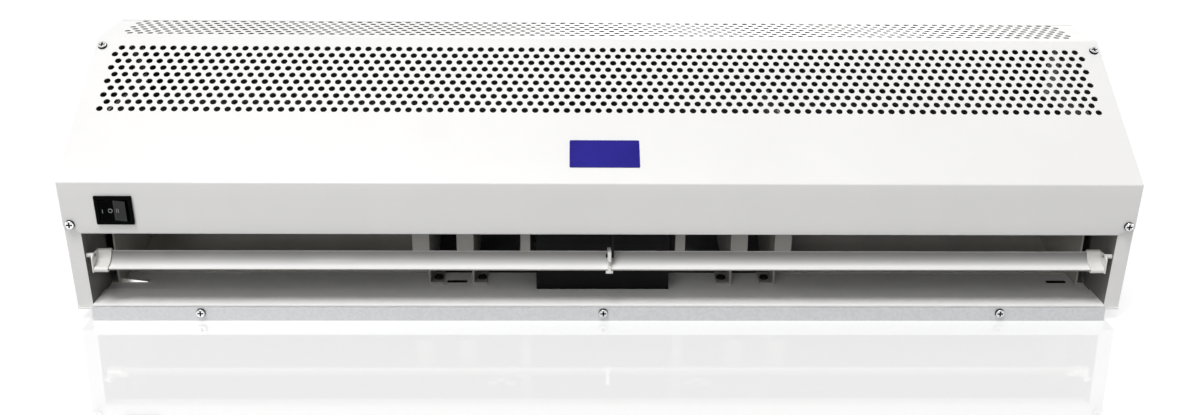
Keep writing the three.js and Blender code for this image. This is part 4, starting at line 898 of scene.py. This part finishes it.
def fan(side, name):
    """A cross-flow impeller of curved blades between discs, on two stub shafts."""
    low, high = cad(f"impeller_{name}")
    near, far = sorted((abs(low.x), abs(high.x)))
    plate = cad("scroll_inner_plate_right")[1].x - FRONT_FLANGE_WIDTH
    start, end = plate + FAN_END_GAP, far - FAN_STUB
    disc, blade_reach = FAN_DISC_THICKNESS, FAN_BLADE["reach"]
    shells = []
    for k in range(FAN_DISCS):
        x = start + (end - start - disc) * k / (FAN_DISCS - 1)
        bore = FAN_STUB_RADIUS - 1 if k in (0, FAN_DISCS - 1) else FAN_RADIUS - FAN_RING_WIDTH
        shells.append(turned([(bore, x), (FAN_RADIUS, x), (FAN_RADIUS, x + disc), (bore, x + disc)], 72))
    for k in range(FAN_BLADES):
        section = blade_section(2 * math.pi * k / FAN_BLADES)
        shells.append(extruded(section, start + blade_reach, end - blade_reach))
    for x0, x1, radius in (
        (near, start + 1, FAN_STUB_RADIUS),
        (start + 1, start + FAN_HUB_LENGTH, FAN_HUB_RADIUS),
        (end - FAN_HUB_LENGTH, end - 1, FAN_HUB_RADIUS),
        (end - 1, far, FAN_STUB_RADIUS),
    ):
        shells.append(extruded(circle(radius, 32), x0, x1))
    flip = Matrix.Translation((0, AXIS_Y, AXIS_Z)) @ Matrix.Diagonal((side, 1, 1, 1))
    wheel = mesh_object(f"fan_{name}", *moved(merged(*shells), flip))
    return dressed(wheel, "rotor", BLACK_PLASTIC, "aluminium", f"impeller_{name}")


def scroll_wall(name):
    """The spiral wall behind a fan, as one smooth sheet."""
    low, high = cad(f"scroll_{name}")
    start, end = AXIS_Z - low.z - SHEET, FAN_RADIUS + SCROLL_OUTLET_GAP
    outer, inner = [], []
    steps = 48
    for i in range(steps + 1):
        swept = SCROLL_SWEEP * i / steps
        radius = start + (end - start) * i / steps
        sine, cosine = math.sin(swept), math.cos(swept)
        inner.append((AXIS_Y + radius * sine, AXIS_Z - radius * cosine))
        outer.append((AXIS_Y + (radius + SHEET) * sine, AXIS_Z - (radius + SHEET) * cosine))
    section = [(low.y, outer[0][1]), *outer, *inner[::-1], (low.y, inner[0][1])]
    wall = mesh_object(f"scroll_wall_{name}", *extruded(section, low.x, high.x))
    return dressed(wall, "chassis", SCROLL_PAINT_SHADED, "duct_paint", f"scroll_{name}")


def motor_shell():
    """The motor's casing with domed ends and a ribbed middle."""
    low, high = cad("motor_casing")
    reach = high.x
    radius = (high.z - low.z) / 2
    bell = [(MOTOR_BORE_RADIUS, reach), (MOTOR_BOSS_RADIUS, reach), (MOTOR_BOSS_RADIUS, MOTOR_BOSS_START)]
    bell += [(radius - step, x) for step, x in MOTOR_BELL]
    pitch, root = MOTOR_RIB["pitch"], radius - MOTOR_RIB["depth"]
    ribs = []
    for k in range(MOTOR_RIB["count"]):
        x = pitch * ((MOTOR_RIB["count"] - 1) / 2 - k)
        ribs += [(radius, x + MOTOR_RIB["crest"]), (radius, x - MOTOR_RIB["crest"])]
        ribs += [(root, x - MOTOR_RIB["root"]), (root, x - pitch + MOTOR_RIB["root"])]
    profile = [*bell, *ribs, *((r, -x) for r, x in bell[::-1])]
    shell = moved(turned(profile, 72), Matrix.Translation((0, AXIS_Y, AXIS_Z)))
    motor = mesh_object("motor_shell", *shell)
    return dressed(bevel(motor, 0.4), "chassis", BLACK_PAINT, "black_paint", "motor_casing")


# ---------------------------------------------------------------- screws

def screw_seats():
    """Each screw's CAD node with the frame of its seat, whose z points out of the sheet."""
    seats = {}
    for name, side in (("left", -1), ("right", 1)):
        x = side * (END_X - COVER_SCREW_INSET)
        seats[f"cover_screw_upper_{name}"] = on_slope(x, COVER_SCREW_FROM_FOLD, GAP)
        seats[f"cover_screw_lower_{name}"] = on_fascia(x, FASCIA_FOOT_Z + FASCIA_SCREW_RISE, GAP)
        for plate in ("bearing", "scroll"):
            node = f"{plate}_foot_screw_{name}"
            low, high = cad(node)
            base = Vector(((low.x + high.x) / 2, (low.y + high.y) / 2, high.z - SCREW["head_height"]))
            seats[node] = seat(base, Vector((0, 1, 0)), Vector((0, 0, 1)))
    for name in ("left", "middle", "right"):
        node = f"wall_plate_screw_{name}"
        low, high = cad(node)
        base = Vector(((low.x + high.x) / 2, low.y + SCREW["head_height"], (low.z + high.z) / 2))
        seats[node] = seat(base, Vector((0, 0, 1)), Vector((0, -1, 0)))
    return seats


def cross_recess(u, v, radius=2.1, width=0.85, depth=1.3, flank=0.25, end=0.3):
    """How deep the cross recess is at a point of the head, rising over `flank` and `end` at its walls."""
    arm, along = sorted((abs(u), abs(v)))
    inside = min(1, (width / 2 + flank - arm) / flank, (radius + end - along) / end)
    return depth * max(0, inside)


def pan_head():
    """A pan head with a cross recess, as rings and spokes over a shank, z out of the seat."""
    rings, spokes = 14, 48
    points = [(0, 0, SCREW["head_height"] - cross_recess(0, 0))]
    for i in range(1, rings + 1):
        out = i / rings
        crown = SCREW["head_height"] * (1 - 0.12 * out**2) * min(1, (1 - out**6) ** 0.5 + 0.25)
        for k in range(spokes):
            turn = 2 * math.pi * (k + 0.5) / spokes
            u, v = SCREW["head_radius"] * out * math.cos(turn), SCREW["head_radius"] * out * math.sin(turn)
            points.append((u, v, max(0.25, crown - cross_recess(u, v))))
    points += [(x, y, 0) for x, y, _ in points[-spokes:]]
    faces = [(0, 1 + k, 1 + (k + 1) % spokes) for k in range(spokes)]
    for i in range(rings):
        here, there = 1 + i * spokes, 1 + (i + 1) * spokes
        for k in range(spokes):
            following = (k + 1) % spokes
            faces.append((here + k, there + k, there + following, here + following))
    faces.append(tuple(range(len(points) - spokes, len(points)))[::-1])
    return points, faces


def screws():
    """All the screws. Recess and rim are black on the bright ones: painted shade. The foot screws are black
    all over, as painted shade too.
    """
    for node, matrix in screw_seats().items():
        length = SCREW["foot_length" if "foot" in node else "length"]
        shank = slab(circle(SCREW["shank_radius"], 20), -length, 0.2)
        screw = mesh_object(f"pan_{node}", *moved(merged(pan_head(), shank), matrix), sharp=28)
        # The foot screws are black all over: painted shade.
        dressed(screw, "chassis", BLACK_PAINT if "foot" in node else CHROME, "screw_steel", node)
        # Painted shade: the cross recess and the rim of each head take black paint.
        screw.data.materials.append(BLACK_PAINT)
        back = matrix.inverted()
        for face in screw.data.polygons:
            u, v, height = back @ (face.center / MM)
            if height > 0 and (cross_recess(u, v) > 0.25 or math.hypot(u, v) > 0.95 * SCREW["head_radius"]):
                face.material_index = 1


# ---------------------------------------------------------------- carried-over CAD nodes

def finished_nodes():
    """Finishes and softened edges of the CAD nodes whose shape stays."""
    finishes = {
        FLOOR_PAINT: ["outlet_floor"],
        PAN_PAINT: ["chassis_pan"],
        PANEL_PAINT["left"]: ["side_panel_left"],
        PANEL_PAINT["right"]: ["side_panel_right"],
        GALVANISED: ["wall_plate", "capacitor_clip"],
        BLACK_PAINT: ["motor_guard", "vane_hanger"],
        WHITE_PLASTIC: ["vane_saddle", "run_capacitor", "terminal_block"],
        BRIGHT_STEEL: ["motor_shaft"],
        ALUMINIUM: ["coupling_left", "coupling_right"],
        RUBBER: ["cable_grommet"],
        DUCT_PAINT_SHADED: ["motor_cradle"],
        SCROLL_PAINT_SHADED: ["scroll_outer_plate_left", "scroll_outer_plate_right"],
    }
    for name in ("left", "right"):
        finishes[RUBBER] += [f"rubber_ring_{name}", f"inner_bearing_{name}", f"outer_bearing_{name}"]
        finishes[DUCT_PAINT_SHADED] += [f"bearing_plate_{name}", f"scroll_inner_plate_{name}"]
        finishes[BLACK_PAINT] += [f"tongue_{name}"]
    for material, names in finishes.items():
        for node in names:
            piece = frame["nodes"][node]
            piece.data.materials.clear()
            piece.data.materials.append(material)
            bevel(piece, 0.3)


# ---------------------------------------------------------------- floor, light and camera

def ray_factor(tree):
    """1 on rays that the camera sees directly, in a reflection or through glass, and 0 on the rest."""
    path = tree.nodes.new("ShaderNodeLightPath")
    total = path.outputs["Is Camera Ray"]
    for name in ("Is Glossy Ray", "Is Transmission Ray"):
        total = calculated(tree, "ADD", total, path.outputs[name], clamp=True)
    return total


FLOOR = {"lit": 0.3, "seen": 0.36, "glow": 0.75, "gloss": 0.25, "roughness": 0.03}
SKY_LEVEL = 0.25


def floor():
    """A glossy white table top that keeps the object's shadow.

    Where it is seen it is a shade lighter and glows a little, so that it meets the white background."""
    bpy.ops.mesh.primitive_plane_add(size=24)
    top = bpy.context.object
    top.name = "floor"
    top.location.z = -0.2 * MM
    material = bpy.data.materials.new("table top")
    material.use_nodes = True
    tree = material.node_tree
    tree.nodes.clear()
    tint = tree.nodes.new("ShaderNodeMix")
    tint.data_type = "RGBA"
    for socket, grey in (("A", FLOOR["lit"]), ("B", FLOOR["seen"])):
        tint.inputs[socket].default_value = (grey, grey, grey, 1)
    seen = ray_factor(tree)
    tree.links.new(seen, tint.inputs["Factor"])
    matt = tree.nodes.new("ShaderNodeBsdfDiffuse")
    tree.links.new(tint.outputs["Result"], matt.inputs["Color"])
    glow = tree.nodes.new("ShaderNodeEmission")
    tree.links.new(calculated(tree, "MULTIPLY", seen, FLOOR["glow"]), glow.inputs["Strength"])
    gloss = tree.nodes.new("ShaderNodeBsdfGlossy")
    gloss.inputs["Roughness"].default_value = FLOOR["roughness"]
    lifted = tree.nodes.new("ShaderNodeAddShader")
    both = tree.nodes.new("ShaderNodeMixShader")
    both.inputs["Fac"].default_value = FLOOR["gloss"]
    out = tree.nodes.new("ShaderNodeOutputMaterial")
    tree.links.new(matt.outputs["BSDF"], lifted.inputs[0])
    tree.links.new(glow.outputs["Emission"], lifted.inputs[1])
    tree.links.new(lifted.outputs["Shader"], both.inputs[1])
    tree.links.new(gloss.outputs["BSDF"], both.inputs[2])
    tree.links.new(both.outputs["Shader"], out.inputs["Surface"])
    top.data.materials.append(material)
    top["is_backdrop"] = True


def sky():
    """White where it is seen, and dimmer as a source of light."""
    world = bpy.data.worlds.new("studio")
    bpy.context.scene.world = world
    world.use_nodes = True
    tree = world.node_tree
    light, seen = tree.nodes["Background"], tree.nodes.new("ShaderNodeBackground")
    for background, level in ((light, SKY_LEVEL), (seen, 1)):
        background.inputs["Color"].default_value = (1, 1, 1, 1)
        background.inputs["Strength"].default_value = level
    both = tree.nodes.new("ShaderNodeMixShader")
    tree.links.new(ray_factor(tree), both.inputs["Fac"])
    tree.links.new(light.outputs["Background"], both.inputs[1])
    tree.links.new(seen.outputs["Background"], both.inputs[2])
    tree.links.new(both.outputs["Shader"], tree.nodes["World Output"].inputs["Surface"])


def softbox(name, place, size, level):
    """A square area lamp that looks at the object and lights a surface facing it at `level`."""
    target = Vector((0, 0, 0.1))
    place = Vector(place)
    lamp = bpy.data.lights.new(name, "AREA")
    lamp.shape = "SQUARE"
    lamp.size = size
    lamp.energy = level * math.pi**2 * (target - place).length_squared
    box = bpy.data.objects.new(name, lamp)
    box.location = place
    box.rotation_mode = "QUATERNION"
    box.rotation_quaternion = (target - place).to_track_quat("-Z", "Y")
    bpy.context.scene.collection.objects.link(box)


def camera():
    place = (-0.03004, -1.09499, 0.48781)
    pitch, yaw, roll = 21.09, 1.46, 0.66  # degrees down, towards +X, and lifting the right side
    lens = bpy.data.cameras.new("camera")
    lens.lens = 38.231
    lens.sensor_width = 36
    lens.clip_start = 0.01
    viewer = bpy.data.objects.new("camera", lens)
    turn = (
        Matrix.Rotation(math.radians(-yaw), 4, "Z")
        @ Matrix.Rotation(math.radians(90 - pitch), 4, "X")
        @ Matrix.Rotation(math.radians(roll), 4, "Z")
    )
    viewer.matrix_world = Matrix.Translation(place) @ turn
    bpy.context.scene.collection.objects.link(viewer)
    bpy.context.scene.camera = viewer


# ---------------------------------------------------------------- making

camera()
perforated_cover()
badge_plate()
slot_covers()
switch_housing()
rocker()
rocker_marks()
vane_trough()
for side, name in ((-1, "left"), (1, "right")):
    vane_end(side, name)
    fan(side, name)
    scroll_wall(name)
motor_shell()
screws()
finished_nodes()

bpy.context.scene.view_settings.view_transform = "Standard"
floor()
sky()
softbox("key", (-1.5, -2.7, 7.6), 3, 0.7)
softbox("fill", (-1.3, -2.6, 1.7), 1.6, 0.2)
softbox("right", (5, 1, 1), 2, 0.22)
softbox("left", (-5, 1, 1), 2, 0.12)
softbox("back", (0.8, 4.5, 2), 2, 0.25)

boxes = {"cad": CAD_BOX, "visual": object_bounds()}
{name: [list(corner) for corner in corners] for name, corners in boxes.items()}
